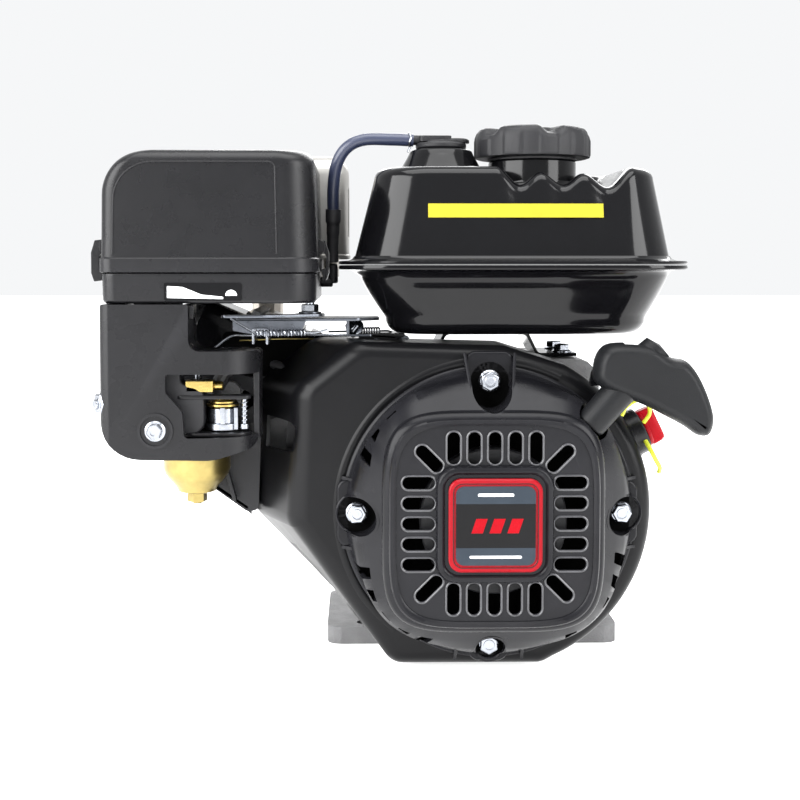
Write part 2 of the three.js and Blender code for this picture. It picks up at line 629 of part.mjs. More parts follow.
part("vent_hose", cut(hose([
  V(-46, VENT.y, 350.5), V(-78, VENT.y, 351.5), V(-93, -43, 346), V(-100, -39, 332), V(-101.5, -32,
    300), V(-102, -26, 266),
], 4.3, 26, 10), bar(V(-40, VENT.y, 350.5), V(-56, VENT.y, 350.5), 3.1, 10), bar(V(-101.95, -26.9, 271),
  V(-102.05, -25, 260), 3, 10)), greyRubber);

function tankBracket() {
  const hat = outline([[-34, 200.4], [-18, 200.4], [-18, 215], [6, 215], [6, 200.4], [22, 200.4], [22,
    203.4], [9, 203.4], [9, 218.6], [-21, 218.6], [-21, 203.4], [-34, 203.4]]);
  return sidePlate(hat, -58, 70);
}
part("tank_bracket", tankBracket(), glossBlack);

const CARB = { x: -192, z: 172 };

// ---------- air cleaner ----------
const AIR = { x: [-246, -110], y: [-128, 2], seam: 260, top: 337.5, floor: 241 };
function airCover() {
  const outer = (grow) => common(
    frontPlate(outline([
      [AIR.x[0] + grow, AIR.seam - grow, 0], [AIR.x[1] - grow, AIR.seam - grow, 0],
      [AIR.x[1] - 2 - grow, AIR.top - grow, 7], [AIR.x[0] + 6 + grow, AIR.top - grow, 27],
    ], 0, 5), AIR.y[0] - 5, AIR.y[1] + 5),
    planPlate(rectangle(AIR.x[0] + grow, AIR.x[1] - grow, AIR.y[0] + grow, AIR.y[1] - grow, 20, 4),
      AIR.seam - 5, AIR.top + 5),
  );
  return cut(outer(0), outer(2.5));
}
part("air_cleaner_cover", airCover(), blackPlastic);

function airBase() {
  const tray = planPlate(rectangle(AIR.x[0] + 1, AIR.x[1] - 1, AIR.y[0] + 1, AIR.y[1] - 1, 19, 4),
    AIR.floor, AIR.seam - GAP);
  const inside = planPlate(rectangle(AIR.x[0] + 4, AIR.x[1] - 4, AIR.y[0] + 4, AIR.y[1] - 4, 17, 4),
    AIR.floor + 3, AIR.seam + 1);
  const duct = join(box(-226, -196, -122, -100, 180, AIR.floor + 1), box(-226, -177, -122, -100, 157.5,
    190));
  const elbow = join(bar(V(-111.5, -25, 255), V(-102, -25, 255), 3.4, 10), bar(V(-102, -25, 252),
    V(-102, -25.6, 266), 2.6, 10));
  return cut(
    join(cut(tray, inside), duct, elbow),
    join(box(-223, -199, -119, -103, 170, AIR.floor + 4), box(-223, -180, -119, -103, 160, 187)),
    bar(V(CARB.x, -104, CARB.z), V(CARB.x, -99, CARB.z), 12, 20),
  );
}

part("air_cleaner_base", airBase(), blackPlastic);

const filterOutline = (grow) => rectangle(-230 + grow, -126 - grow, -112 + grow, -14 - grow, 16, 3);
part("air_filter", cut(planPlate(filterOutline(0), 247, 322), planPlate(filterOutline(12), 240, 312)),
  filterFoam);

function latch(x, side) {
  // The left latch is the long one; the right latch is short, because the tank stands close to it.
  const wide = side < 0 ? 9 : 7;
  const front = side < 0 ? -104 : -78;
  const profile = [
    [x, 258], [x + side * 3, 254], [x + side * (wide - 1), 258], [x + side * wide, 272],
    [x + side * (wide - 3), 282], [x, 282],
  ];
  const shape = outline(side > 0 ? profile : profile.reverse());
  return frontPlate(shape, front, -52);
}
part("cover_latch_left", latch(AIR.x[0] - GAP - 0.5, -1), blackPlastic);
part("cover_latch_right", latch(AIR.x[1] + GAP + 0.5, 1), blackPlastic);

// ---------- carburettor ----------
part("carburetor_spacer", cut(
  frontPlate(outline([[-214, 158], [-168, 154], [-138, 160], [-138, 184], [-168, 190], [-214, 188]], 6),
    -53.6, -46.4),
  bar(V(-155, -42, 171.6), V(-172, -50, CARB.z), 10.5, 14),
  bar(V(CARB.x, -57, CARB.z), V(-168, -49, CARB.z), 10.5, 14),
), blackPlastic);

function carburetor() {
  const throat = yBar(CARB.x, CARB.z, -99.7, -54, 16, 20);
  const flange = frontPlate(rectangle(CARB.x - 28, CARB.x + 28, CARB.z - 14, CARB.z + 14, 10), -62, -54);
  const tower = zBar(CARB.x, -79, CARB.z - 25, CARB.z + 16, 13, 20);
  const seat = zBar(CARB.x, -79, CARB.z - 28, CARB.z - 20, 23, 24);
  const idle = bar(V(CARB.x + 14, -84, CARB.z + 12), V(CARB.x + 22, -84, CARB.z + 26), 5, 12);
  const tap = frontPlate(rectangle(CARB.x - 6, CARB.x + 12, CARB.z - 26.5, CARB.z - 17, 3), -115, -99);
  return cut(
    join(throat, flange, tower, seat, idle, tap),
    yBar(CARB.x, CARB.z, -101, -53, 11, 20),
    bar(V(CARB.x, -68, CARB.z - 17), V(CARB.x, -68, CARB.z + 30), 2.8, 10),
    bar(V(CARB.x - 18, -92, CARB.z), V(CARB.x + 30, -92, CARB.z), 2.8, 10),
  );
}
part("carburetor", carburetor(), castAluminium);
part("float_bowl", join(
  turnedUp([[0, CARB.z - 59], [11, CARB.z - 59], [17, CARB.z - 52], [22, CARB.z - 44], [22,
    CARB.z - 30], [23.5, CARB.z - 28.4], [0, CARB.z - 28.4]], CARB.x, -79),
  zBar(CARB.x, -79, CARB.z - 65, CARB.z - 58, 6.3, 6),
), goldZinc);
function turnedUp(profile, x, y, segments = 28) {
  const points = profile.map(([r, z]) => new THREE.Vector2(r, z));
  return new THREE.LatheGeometry(points, segments).rotateX(Math.PI / 2).translate(x, y, 0);
}

// Throttle spindle with its butterfly and, above the body, the lever that the governor works.
const SPINDLE = { x: CARB.x, y: -68 };
part("throttle_butterfly", join(
  zBar(SPINDLE.x, SPINDLE.y, CARB.z - 15, CARB.z + 26, 2.4, 12),
  bar(V(SPINDLE.x, SPINDLE.y - 0.8, CARB.z), V(SPINDLE.x, SPINDLE.y + 0.8, CARB.z), 10.4, 20),
  box(SPINDLE.x - 4, SPINDLE.x + 4, SPINDLE.y - 4, SPINDLE.y + 14, CARB.z + 23, CARB.z + 26),
), zincSteel);
// Choke spindle across the throat, with its lever on the right, in the cover's window.
const CHOKE = { y: -92 };
part("choke_lever", join(
  bar(V(CARB.x - 10.5, CHOKE.y, CARB.z), V(CARB.x + 26, CHOKE.y, CARB.z), 2.4, 12),
  bar(V(CARB.x, CHOKE.y - 0.8, CARB.z), V(CARB.x, CHOKE.y + 0.8, CARB.z), 10.4, 20),
  box(CARB.x + 22, CARB.x + 25, CHOKE.y - 14, CHOKE.y + 4, CARB.z - 4, CARB.z + 4),
  box(CARB.x + 22, CARB.x + 34, CHOKE.y - 16, CHOKE.y - 12, CARB.z - 4, CARB.z + 4),
), blackPlastic);
// The fuel tap's lever turns on a boss that is cast on the carburettor.
part("fuel_tap_lever", join(
  yBar(CARB.x + 3, CARB.z - 21.5, -120, -115.3, 5, 14),
  frontPlate(rectangle(CARB.x + 1, CARB.x + 26, CARB.z - 24.5, CARB.z - 18.5, 2), -121, -118),
), blackPlastic);

function carburetorCover() {
  const silhouette = (g) => outline([
    [-246 + g, 240.5 - g, 3], [-246 + g, 142 + g, 24], [-160, 142 + g, 18], [-147 - g, 152 + g, 8],
    [-147 - g, 211 - g, 4], [-190.5 - g, 211 - g, 8], [-190.5 - g, 240.5 - g, 3],
  ], 0, 3);
  const plan = (g) => rectangle(-246 + g, -147 - g, -130 + g, -40, 22, 4);
  const shape = (g, y1) => common(frontPlate(silhouette(g), -130 + g, y1), planPlate(plan(g), 100, 260));
  const shell = cut(shape(0, -88), shape(3, -80));
  const window = frontPlate(outline([
    [-204, 196, 2], [-152, 196, 2], [-152, 156, 2], [-193, 156, 2], [-193, 176, 6], [-204, 186, 4],
  ], 0, 3), -140, -100);
  const roof = box(-229, -194, -124, -80, 230, 245);
  const floor = box(-218, -158, -124, -80, 135, 146);
  return cut(shell, window, roof, floor, yBar(-212, 162, -140, -120, 3.4, 12));
}
part("carburetor_cover", carburetorCover(), blackPlastic);

// ---------- exhaust ----------
function exhaustPipe() {
  const port = V(VALVE.v, 46.4, PORT_U).applyMatrix4(cylinderFrame.matrix);
  const path = [port, V(port.x, 52, port.z), V(port.x, 62, port.z + 12), V(port.x, 62, 254)];
  const curve = (r) => hose(path, r, 9, 12);
  const flange = frontPlate(rectangle(port.x - 22, port.x + 22, port.z - 14, port.z + 14, 8), 46.4, 51);
  return { wall: join(flange, curve(12)), hollow: join(curve(10), yBar(port.x, port.z, 46, 52, 10, 14)) };
}

const MUFFLER = [
  [250.4, -206, -104, 18, 72, 14], [256, -212, -99, 14, 76, 18], [326, -212, -99, 14, 76, 18], [334,
    -204, -107, 22, 68, 14],
];
const header = exhaustPipe();
part("muffler", cut(
  join(planLoft(MUFFLER), header.wall, bar(V(-211, 45, 318), V(-226, 45, 318), 9, 18)),
  planLoft(inset(MUFFLER, 2).map(([z, ...rest], i) => [i < 2 ? z + 2 : z - 2, ...rest])),
  bar(V(-205, 45, 318), V(-228, 45, 318), 7, 18),
  header.hollow,
), castAluminium);

function mufflerGuard() {
  const outer = planPlate(rectangle(-220, -91, 8, 82, 16, 4), 262, 345, 6);
  const inner = planPlate(rectangle(-218.4, -92.6, 9.6, 80.4, 14.5, 4), 250, 343.4, 5);
  const vents = [];
  for (let x = -204; x <= -108; x += 16) vents.push(box(x, x + 9, 20, 70, 340, 350));
  for (let x = -204; x <= -108; x += 16) vents.push(box(x, x + 9, 76, 90, 285, 330));
  return cut(outer, inner, box(-230, -80, 0, 90, 250, 269), ...vents, bar(V(-215, 45, 318), V(-228, 45,
    318), 11, 18));
}
part("muffler_guard", mufflerGuard(), zincSteel);

// ---------- controls ----------
const THROTTLE = V(-116, -84, 231);
part("control_plate", cut(join(
  planPlate(rectangle(-166, -70, -94, -56, 4, 2), 228, 230.4),
  box(-100, -72, -58.4, -56, 216.4, 229),
  planPlate(rectangle(-90, -68, -84, -56, 4, 2), 216.4, 218.8),
), zBar(THROTTLE.x, THROTTLE.y, 220, 232, 3.3, 12)), zincSteel);
part("throttle_lever", join(
  zBar(THROTTLE.x, THROTTLE.y, 222, 238, 3, 12),
  zBar(THROTTLE.x, THROTTLE.y, 230.8, 233.4, 11, 20),
  planPlate(outline([[-116, -74], [-116, -92], [-160, -118], [-172, -112], [-172, -104], [-160, -100]],
    3, 2), 231, 233.4),
  box(-172, -169.6, -112, -104, 232, 240),
  zBar(THROTTLE.x, THROTTLE.y, 233, 239.5, 5.8, 6),
), zincSteel);

part("governor_arm", join(
  yBar(GOVERNOR.x, GOVERNOR.z, -53.2, -43, 4, 12),
  frontPlate(outline([
    [GOVERNOR.x - 6, GOVERNOR.z - 6], [GOVERNOR.x + 6, GOVERNOR.z - 6], [GOVERNOR.x + 4, GOVERNOR.z + 10],
    [GOVERNOR.x - 4, GOVERNOR.top], [GOVERNOR.x - 11, GOVERNOR.top],
  ], 2, 2), -53.2, -51.2),
), zincSteel);
part("throttle_rod", hose([
  V(-63, -49.6, 213), V(-70, -49.8, 216), V(-130, -50.4, 217), V(-172, -55, 216), V(-187, -58, 204),
    V(SPINDLE.x + 1, -58, 199.6),
], 1, 20, 6), zincSteel);

const SWITCH_ANGLE = THREE.MathUtils.degToRad(25.7);
const switchFrame = new THREE.Group();
switchFrame.position.z = CRANK_Z;
switchFrame.rotation.y = -SWITCH_ANGLE;
engine.add(switchFrame);
part("switch_base", bar(V(FAN_OUTLINE_R + 1.6, -88, 0), V(FAN_OUTLINE_R + 9, -88, 0), 15, 24),
  blackPlastic, switchFrame);
part("switch_knob", join(
  bar(V(FAN_OUTLINE_R + 9.3, -88, 0), V(FAN_OUTLINE_R + 12, -88, 0), 12.5, 24),
  box(FAN_OUTLINE_R + 11, FAN_OUTLINE_R + 20, -93, -83, -12, 12),
), redPlastic, switchFrame);

part("oil_dipstick", join(
  bar(dipstickPoint(0), dipstickPoint(9), 14, 12),
  bar(dipstickPoint(-22), dipstickPoint(1), 8, 16),
  bar(dipstickPoint(-52), dipstickPoint(-21), 2, 8),
), blackPlastic);

part("cylinder_shroud", frontPlate(outline([
  [-158, 92], [-196, 127], [-210, 150], [-207.6, 151], [-194, 128.8], [-158, 94.8],
]), -52, 40), glossBlack);

export default engine;
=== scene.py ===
"""Looks of a small horizontal-shaft petrol engine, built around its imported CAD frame."""
import json
import math

import bmesh
import bpy
from mathutils import Matrix, Vector


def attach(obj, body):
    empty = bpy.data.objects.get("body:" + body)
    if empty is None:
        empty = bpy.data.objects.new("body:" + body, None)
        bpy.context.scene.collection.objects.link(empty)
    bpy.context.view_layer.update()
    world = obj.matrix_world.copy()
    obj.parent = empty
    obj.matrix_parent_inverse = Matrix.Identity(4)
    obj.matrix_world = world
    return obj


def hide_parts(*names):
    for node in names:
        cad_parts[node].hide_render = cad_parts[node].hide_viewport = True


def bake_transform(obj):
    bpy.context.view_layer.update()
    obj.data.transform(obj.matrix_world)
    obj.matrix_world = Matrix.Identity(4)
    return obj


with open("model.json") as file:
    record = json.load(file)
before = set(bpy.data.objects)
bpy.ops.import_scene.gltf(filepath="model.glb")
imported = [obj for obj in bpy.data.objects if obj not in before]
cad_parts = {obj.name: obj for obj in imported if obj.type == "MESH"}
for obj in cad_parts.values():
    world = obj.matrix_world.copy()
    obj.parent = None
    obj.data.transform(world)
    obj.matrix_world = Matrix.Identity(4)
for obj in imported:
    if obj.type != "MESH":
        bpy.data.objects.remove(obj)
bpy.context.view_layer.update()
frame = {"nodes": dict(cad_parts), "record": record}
MM = 0.001
CRANK_Z = 106
CAP_AT, VENT_AT = (36, -45, 0), (-27, -45, 0)
PULL_START, PULL_WAY = Vector((60, -136, 164)), Vector((0.6524, 0, 0.7578))
UP = (0, 0, 1)
BACK = (0, 1, 0)
FRONT = (0, -1, 0)
RIGHT = (1, 0, 0)
scene = bpy.context.scene


# ---------------------------------------------------------------- camera, light, floor
def look_direction(yaw, pitch):
    return Matrix.Rotation(math.radians(yaw), 4, "Z") @ Matrix.Rotation(math.radians(90 + pitch), 4, "X")


camera_data = bpy.data.cameras.new("camera")
camera_data.sensor_width = 36
camera_data.lens = 56.25
camera = bpy.data.objects.new("camera", camera_data)
camera_data.shift_x, camera_data.shift_y = 0.025, -0.0851
camera.matrix_world = Matrix.Translation((-0.0829, -0.912, 0.267)) @ look_direction(-0.92, -3.2)
scene.collection.objects.link(camera)
scene.camera = camera


def area_light(name, place, target, size, power, colour=(1, 1, 1)):
    data = bpy.data.lights.new(name, "AREA")
    data.shape = "RECTANGLE"
    data.size, data.size_y = size
    data.energy = power
    data.color = colour
    lamp = bpy.data.objects.new(name, data)
    lamp.location = place
    lamp.rotation_euler = (Vector(target) - Vector(place)).to_track_quat("-Z", "Y").to_euler()
    scene.collection.objects.link(lamp)


area_light("top_box", (0.0, -0.35, 1.7), (0, 0, 0.2), (1.6, 1.0), 30)
area_light("left_strip", (-1.35, -0.95, 0.75), (0, 0, 0.2), (1.5, 1.2), 62)
area_light("right_strip", (1.35, -1.15, 0.8), (0, 0, 0.2), (0.9, 1.2), 34)
area_light("front_fill", (0.0, -1.25, 2.1), (0, 0, 0.15), (1.8, 0.4), 9)
area_light("back_fill", (0.3, 1.9, 1.3), (0, 0, 0.15), (1.6, 1.0), 24)

world = bpy.data.worlds.new("studio")
world.use_nodes = True
world.node_tree.nodes["Background"].inputs["Color"].default_value = (0.98, 0.99, 1.0, 1)
world.node_tree.nodes["Background"].inputs["Strength"].default_value = 0.94
scene.world = world
scene.view_settings.view_transform = "Standard"


# ---------------------------------------------------------------- materials
def node(tree, kind, **values):
    made = tree.nodes.new(kind)
    for key, value in values.items():
        if key in made.inputs:
            made.inputs[key].default_value = value
        else:
            setattr(made, key, value)
    return made


def scaled(colour, factor):
    return tuple(min(1.0, c * factor) for c in colour) + (1.0,)


def surface(name, colour, rough, metal=0.0, coat=0.0, grain=(900, 0.05), mottle=(30, 0.12), spread=0.08,
            edge_wear_and_highlight=None, stretch=(1, 1, 1), sheen=0.0, shine=0.5):
    """A procedural finish: mottled colour, uneven roughness, fine bump, and lighter edges that are partly
    wear and partly a painted edge highlight.
    """
    made = bpy.data.materials.new(name)
    made.use_nodes = True
    tree = made.node_tree
    link = tree.links.new
    shader = tree.nodes["Principled BSDF"]
    shader.inputs["Metallic"].default_value = metal
    shader.inputs["Coat Weight"].default_value = coat
    shader.inputs["Coat Roughness"].default_value = 0.06
    shader.inputs["Sheen Weight"].default_value = sheen
    shader.inputs["Specular IOR Level"].default_value = shine
    where = node(tree, "ShaderNodeTexCoord")
    place = node(tree, "ShaderNodeMapping", Scale=stretch)
    link(where.outputs["Object"], place.inputs["Vector"])
    broad = node(tree, "ShaderNodeTexNoise", Scale=mottle[0], Detail=6, Roughness=0.6)
    link(place.outputs["Vector"], broad.inputs["Vector"])
    tint = node(tree, "ShaderNodeValToRGB")
    tint.color_ramp.elements[0].position = 0.3
    tint.color_ramp.elements[0].color = scaled(colour, 1 - mottle[1])
    tint.color_ramp.elements[1].position = 0.7
    tint.color_ramp.elements[1].color = scaled(colour, 1 + mottle[1])
    link(broad.outputs["Fac"], tint.inputs["Fac"])
    base = tint.outputs["Color"]
    # Lighter edges by pointiness, patchy by the broad noise: partly worn paint, partly a painted highlight
    # along the edges.
    if edge_wear_and_highlight:
        edge = node(tree, "ShaderNodeNewGeometry")
        ramp = node(tree, "ShaderNodeValToRGB")
        ramp.color_ramp.elements[0].position = 0.515
        ramp.color_ramp.elements[0].color = (0, 0, 0, 1)
        ramp.color_ramp.elements[1].position = 0.58
        ramp.color_ramp.elements[1].color = (edge_wear_and_highlight[1], edge_wear_and_highlight[1], edge_wear_and_highlight[1], 1)
        link(edge.outputs["Pointiness"], ramp.inputs["Fac"])
        wear_and_highlight_mask = node(tree, "ShaderNodeMath", operation="MULTIPLY")
        link(ramp.outputs["Color"], wear_and_highlight_mask.inputs[0])
        link(broad.outputs["Fac"], wear_and_highlight_mask.inputs[1])
        wear_and_highlight_mix = node(tree, "ShaderNodeMix", data_type="RGBA")
        link(wear_and_highlight_mask.outputs["Value"], wear_and_highlight_mix.inputs["Factor"])
        link(base, wear_and_highlight_mix.inputs["A"])
        wear_and_highlight_mix.inputs["B"].default_value = tuple(edge_wear_and_highlight[0]) + (1,)
        base = wear_and_highlight_mix.outputs["Result"]
    link(base, shader.inputs["Base Color"])
    gloss = node(tree, "ShaderNodeMapRange")
    gloss.inputs["To Min"].default_value = max(0.02, rough - spread)
    gloss.inputs["To Max"].default_value = min(1.0, rough + spread)
    smudge = node(tree, "ShaderNodeTexNoise", Scale=mottle[0] * 2.3, Detail=4)
    link(place.outputs["Vector"], smudge.inputs["Vector"])
    link(smudge.outputs["Fac"], gloss.inputs["Value"])
    link(gloss.outputs["Result"], shader.inputs["Roughness"])
    fine = node(tree, "ShaderNodeTexNoise", Scale=grain[0], Detail=3, Roughness=0.7)
    link(place.outputs["Vector"], fine.inputs["Vector"])
    bump = node(tree, "ShaderNodeBump", Strength=grain[1], Distance=0.0006)
    link(fine.outputs["Fac"], bump.inputs["Height"])
    link(bump.outputs["Normal"], shader.inputs["Normal"])
    return made


GLOSS_BLACK = surface("gloss_black_enamel", (0.0025, 0.0025, 0.003), 0.14, coat=0.12, grain=(160, 0.02),
    spread=0.04, shine=0.16)
HOUSING_BLACK = surface("housing_black", (0.003, 0.003, 0.0035), 0.3, grain=(160, 0.02), spread=0.05,
    shine=0.14)
# Its lighter edges are partly wear and partly a painted edge highlight.
STARTER_BLACK = surface("starter_black", (0.004, 0.004, 0.005), 0.25, shine=0.13, grain=(1500, 0.05),
    spread=0.07,
                        edge_wear_and_highlight=((0.03, 0.03, 0.034), 0.3))
# Lighter grey for the slot lips: a painted highlight on their raised edges.
EDGE_GREY = surface("slot_lip_highlight_grey", (0.03, 0.03, 0.034), 0.3, coat=0.1, grain=(1200, 0.1), mottle=(120, 0.3))
# Its lighter edges are partly wear and partly a painted edge highlight.
SATIN_BLACK = surface("satin_black_plastic", (0.0055, 0.0055, 0.0063), 0.28, shine=0.22,
    grain=(2600, 0.16), spread=0.06,
                      edge_wear_and_highlight=((0.03, 0.03, 0.033), 0.3))
MATT_BLACK = surface("matt_black_plastic", (0.008, 0.008, 0.0095), 0.48, shine=0.3, grain=(2200, 0.3),
    spread=0.08)
GRIP_BLACK = surface("grip_black", (0.006, 0.0063, 0.007), 0.4, shine=0.16, grain=(1800, 0.25), spread=0.07)
RUBBER = surface("black_rubber", (0.012, 0.012, 0.014), 0.6, grain=(1200, 0.25))
HOSE = surface("blue_black_hose", (0.02, 0.026, 0.055), 0.4, grain=(900, 0.15), coat=0.15)
CAST = surface("cast_aluminium", (0.15, 0.15, 0.152), 0.5, metal=0.85, grain=(700, 0.8),
    mottle=(60, 0.14), spread=0.12)
STEEL = surface("machined_steel", (0.42, 0.42, 0.43), 0.28, metal=1, grain=(700, 0.2), stretch=(1, 12, 1))
DARK_ZINC = surface("dull_zinc", (0.11, 0.118, 0.135), 0.3, metal=0.9, grain=(420, 0.1),
    mottle=(140, 0.2), spread=0.1)
ZINC = surface("bright_zinc", (0.3, 0.315, 0.345), 0.24, metal=1, grain=(420, 0.1), mottle=(140, 0.1),
    spread=0.1)
GOLD = surface("yellow_zinc", (0.3, 0.235, 0.085), 0.32, metal=1, grain=(500, 0.1), mottle=(70, 0.22),
    spread=0.1)
BRASS = surface("brass", (0.42, 0.31, 0.1), 0.28, metal=1, grain=(600, 0.12), mottle=(90, 0.14))
SILVER = surface("silver_guard", (0.42, 0.41, 0.39), 0.36, metal=0.75, grain=(500, 0.15), mottle=(40, 0.08))
HOT_STEEL = surface("heat_toned_steel", (0.4, 0.37, 0.33), 0.4, metal=1, grain=(500, 0.3), mottle=(35, 0.3))
RED = surface("red_enamel", (0.2, 0.0, 0.004), 0.3, shine=0.15, grain=(400, 0.04), mottle=(40, 0.06))
RED_PLASTIC = surface("red_plastic", (0.24, 0.0, 0.004), 0.35, shine=0.1, grain=(1200, 0.12),
    mottle=(60, 0.08))
YELLOW = surface("yellow_band", (0.29, 0.25, 0.022), 0.5, shine=0.05, grain=(600, 0.04), mottle=(60, 0.04))
YELLOW_WIRE = surface("yellow_wire", (0.62, 0.66, 0.03), 0.4, grain=(600, 0.05), mottle=(60, 0.1))
SLATE = surface("slate_band", (0.02, 0.027, 0.036), 0.35, shine=0.12, grain=(500, 0.05), mottle=(60, 0.1))
WHITE = surface("white_mark", (0.78, 0.79, 0.8), 0.4, grain=(600, 0.04), mottle=(60, 0.05))
CERAMIC = surface("glazed_ceramic", (0.8, 0.79, 0.74), 0.15, coat=0.6, grain=(300, 0.03), mottle=(50, 0.05))
FOAM = surface("filter_foam", (0.1, 0.1, 0.105), 0.95, grain=(500, 1.0), mottle=(300, 0.4), sheen=0.2)
# Near-black matt for sheets that stand in for shade: painted shade.
SHADOW = surface("painted_shade_black", (0.001, 0.001, 0.001), 0.9, grain=(900, 0.2), shine=0.05)
ROPE = surface("braided_rope", (0.03, 0.03, 0.033), 0.8, grain=(900, 0.9), mottle=(500, 0.5), sheen=0.3)
FLOOR = surface("pale_floor", (0.93, 0.93, 0.93), 0.7, grain=(60, 0.03), mottle=(3, 0.01))
FLOOR.node_tree.nodes["Principled BSDF"].inputs["Emission Color"].default_value = (1, 1, 1, 1)
FLOOR.node_tree.nodes["Principled BSDF"].inputs["Emission Strength"].default_value = 0.75


# ---------------------------------------------------------------- outlines
def rounded(corners, radius=0.0, steps=6):
    """A closed 2-D outline from [x, y] or [x, y, radius] corners with circular fillets."""
    points = []
    count = len(corners)
    for i, corner in enumerate(corners):
        here = Vector(corner[:2])
        r = corner[2] if len(corner) > 2 else radius
        if not r:
            points.append(here)
            continue
        before = (Vector(corners[i - 1][:2]) - here).normalized()
        after = (Vector(corners[(i + 1) % count][:2]) - here).normalized()
        half = before.angle(after) / 2
        if half > math.radians(89):
            points.append(here)
            continue
        reach = r / math.tan(half)
        middle = here + (before + after).normalized() * (r / math.sin(half))
        a = here + before * reach - middle
        b = here + after * reach - middle
        turn = math.atan2(a.x * b.y - a.y * b.x, a.dot(b))
        for k in range(steps + 1):
            c, s = math.cos(turn * k / steps), math.sin(turn * k / steps)
            points.append(middle + Vector((a.x * c - a.y * s, a.x * s + a.y * c)))
    return points


def box_outline(x0, x1, y0, y1, radius=0.0, steps=6):
    return rounded([(x0, y0), (x1, y0), (x1, y1), (x0, y1)], radius, steps)


def circle(x, y, r, steps=32):
    return [Vector((x + r * math.cos(2 * math.pi * i / steps), y + r * math.sin(2 * math.pi * i / steps)))
            for i in range(steps)]


def even(ring, count):
    """The same closed ring with its points spread evenly from where it starts."""
    loop = ring + ring[:1]
    lengths = [0.0]
    for a, b in zip(loop, loop[1:]):
        lengths.append(lengths[-1] + (b - a).length)
    result = []
    j = 0
    for i in range(count):
        target = lengths[-1] * i / count
        while lengths[j + 1] < target:
            j += 1
        t = (target - lengths[j]) / max(1e-9, lengths[j + 1] - lengths[j])
        result.append(loop[j].lerp(loop[j + 1], t))
    return result


def raised(outline, axis, level):
    """2-D points as 3-D ones: axis z takes (x, y), y takes (x, z), x takes (y, z)."""
    if axis == "z":
        return [Vector((p.x, p.y, level)) for p in outline]
    if axis == "y":
        return [Vector((p.x, level, p.y)) for p in outline]
    return [Vector((level, p.x, p.y)) for p in outline]


def smooth_step(value, low, high):
    t = min(1.0, max(0.0, (value - low) / (high - low)))
    return t * t * (3 - 2 * t)


# ---------------------------------------------------------------- meshes
class Shape:
    """Collects solids in millimetres and makes one Blender object of them."""

    def __init__(self):
        self.bm = bmesh.new()

    def loft(self, rings, closed=True, capped=True):
        rows = [[self.bm.verts.new(Vector(p) * MM) for p in ring] for ring in rings]
        for a, b in zip(rows, rows[1:]):
            n = len(a)
            for i in range(n if closed else n - 1):
                j = (i + 1) % n
                self.bm.faces.new((a[i], a[j], b[j], b[i]))
        if capped:
            self.bm.faces.new(rows[0][::-1])
            self.bm.faces.new(rows[-1])
        return self

    def loop(self, rings):
        """A closed ring of sections, like a picture frame or a torus."""
        return self.loft(rings + rings[:1], capped=False)

    def prism(self, outline, axis, low, high):
        return self.loft([raised(outline, axis, low), raised(outline, axis, high)])

    def block(self, x0, x1, y0, y1, z0, z1):
        return self.prism(box_outline(x0, x1, y0, y1), "z", z0, z1)

    def turned(self, profile, at, along=UP, steps=40):
        """A round body from (radius, distance) pairs along a direction."""
        turn = Vector(UP).rotation_difference(Vector(along)).to_matrix()
        rings = []
        for r, d in profile:
            ring = [Vector((max(r, 0.01) * math.cos(2 * math.pi * i / steps),
                            max(r, 0.01) * math.sin(2 * math.pi * i / steps), d)) for i in range(steps)]
            rings.append([Vector(at) + turn @ p for p in ring])
        return self.loft(rings)

    def hexagon(self, across, low, high, at, along=UP, spin=0.0):
        """A hexagonal nut or head with its corners broken."""
        turn = Vector(UP).rotation_difference(Vector(along)).to_matrix()
        rings = []
        for scale, d in ((0.9, low), (1, low + 0.5), (1, high - 0.6), (0.88, high)):
            reach = scale * across / 1.732
            corners = [math.radians(60 * i + spin) for i in range(6)]
            ring = [Vector((reach * math.cos(a), reach * math.sin(a), d)) for a in corners]
            rings.append([Vector(at) + turn @ p for p in ring])
        return self.loft(rings)

    def tube(self, points, radius, steps=12, smooth=True):
        """A round bar through points; radius may be one number or one per point."""
        path = spline(points) if smooth else [Vector(p) for p in points]
        if isinstance(radius, (int, float)):
            radii = [radius] * len(path)
        else:
            radii = [radius[min(len(radius) - 1,
                round(i * (len(radius) - 1) / (len(path) - 1)))] for i in range(len(path))]
        side = None
        rings = []
        for i, p in enumerate(path):
            ahead = (path[min(i + 1, len(path) - 1)] - path[max(i - 1, 0)]).normalized()
            if side is None:
                side = ahead.orthogonal().normalized()
            side = (side - ahead * side.dot(ahead)).normalized()
            up = ahead.cross(side)
            turns = [2 * math.pi * k / steps for k in range(steps)]
            rings.append([p + radii[i] * (side * math.cos(a) + up * math.sin(a)) for a in turns])
        return self.loft(rings)

    def make(self, name, look, body=None, replaces=(), bevel=0.0, segments=2, angle=32, limit=40,
        weld=True):
        if weld:
            bmesh.ops.remove_doubles(self.bm, verts=self.bm.verts, dist=1e-6)
        bmesh.ops.recalc_face_normals(self.bm, faces=self.bm.faces)
        mesh = bpy.data.meshes.new(name)
        self.bm.to_mesh(mesh)
        self.bm.free()
        made = bpy.data.objects.new(name, mesh)
        scene.collection.objects.link(made)
        if look:
            mesh.materials.append(look)
        if bevel:
            soften(made, bevel, segments, limit)
        polish(made, angle)
        if body:
            settle(made, body, replaces)
        return made


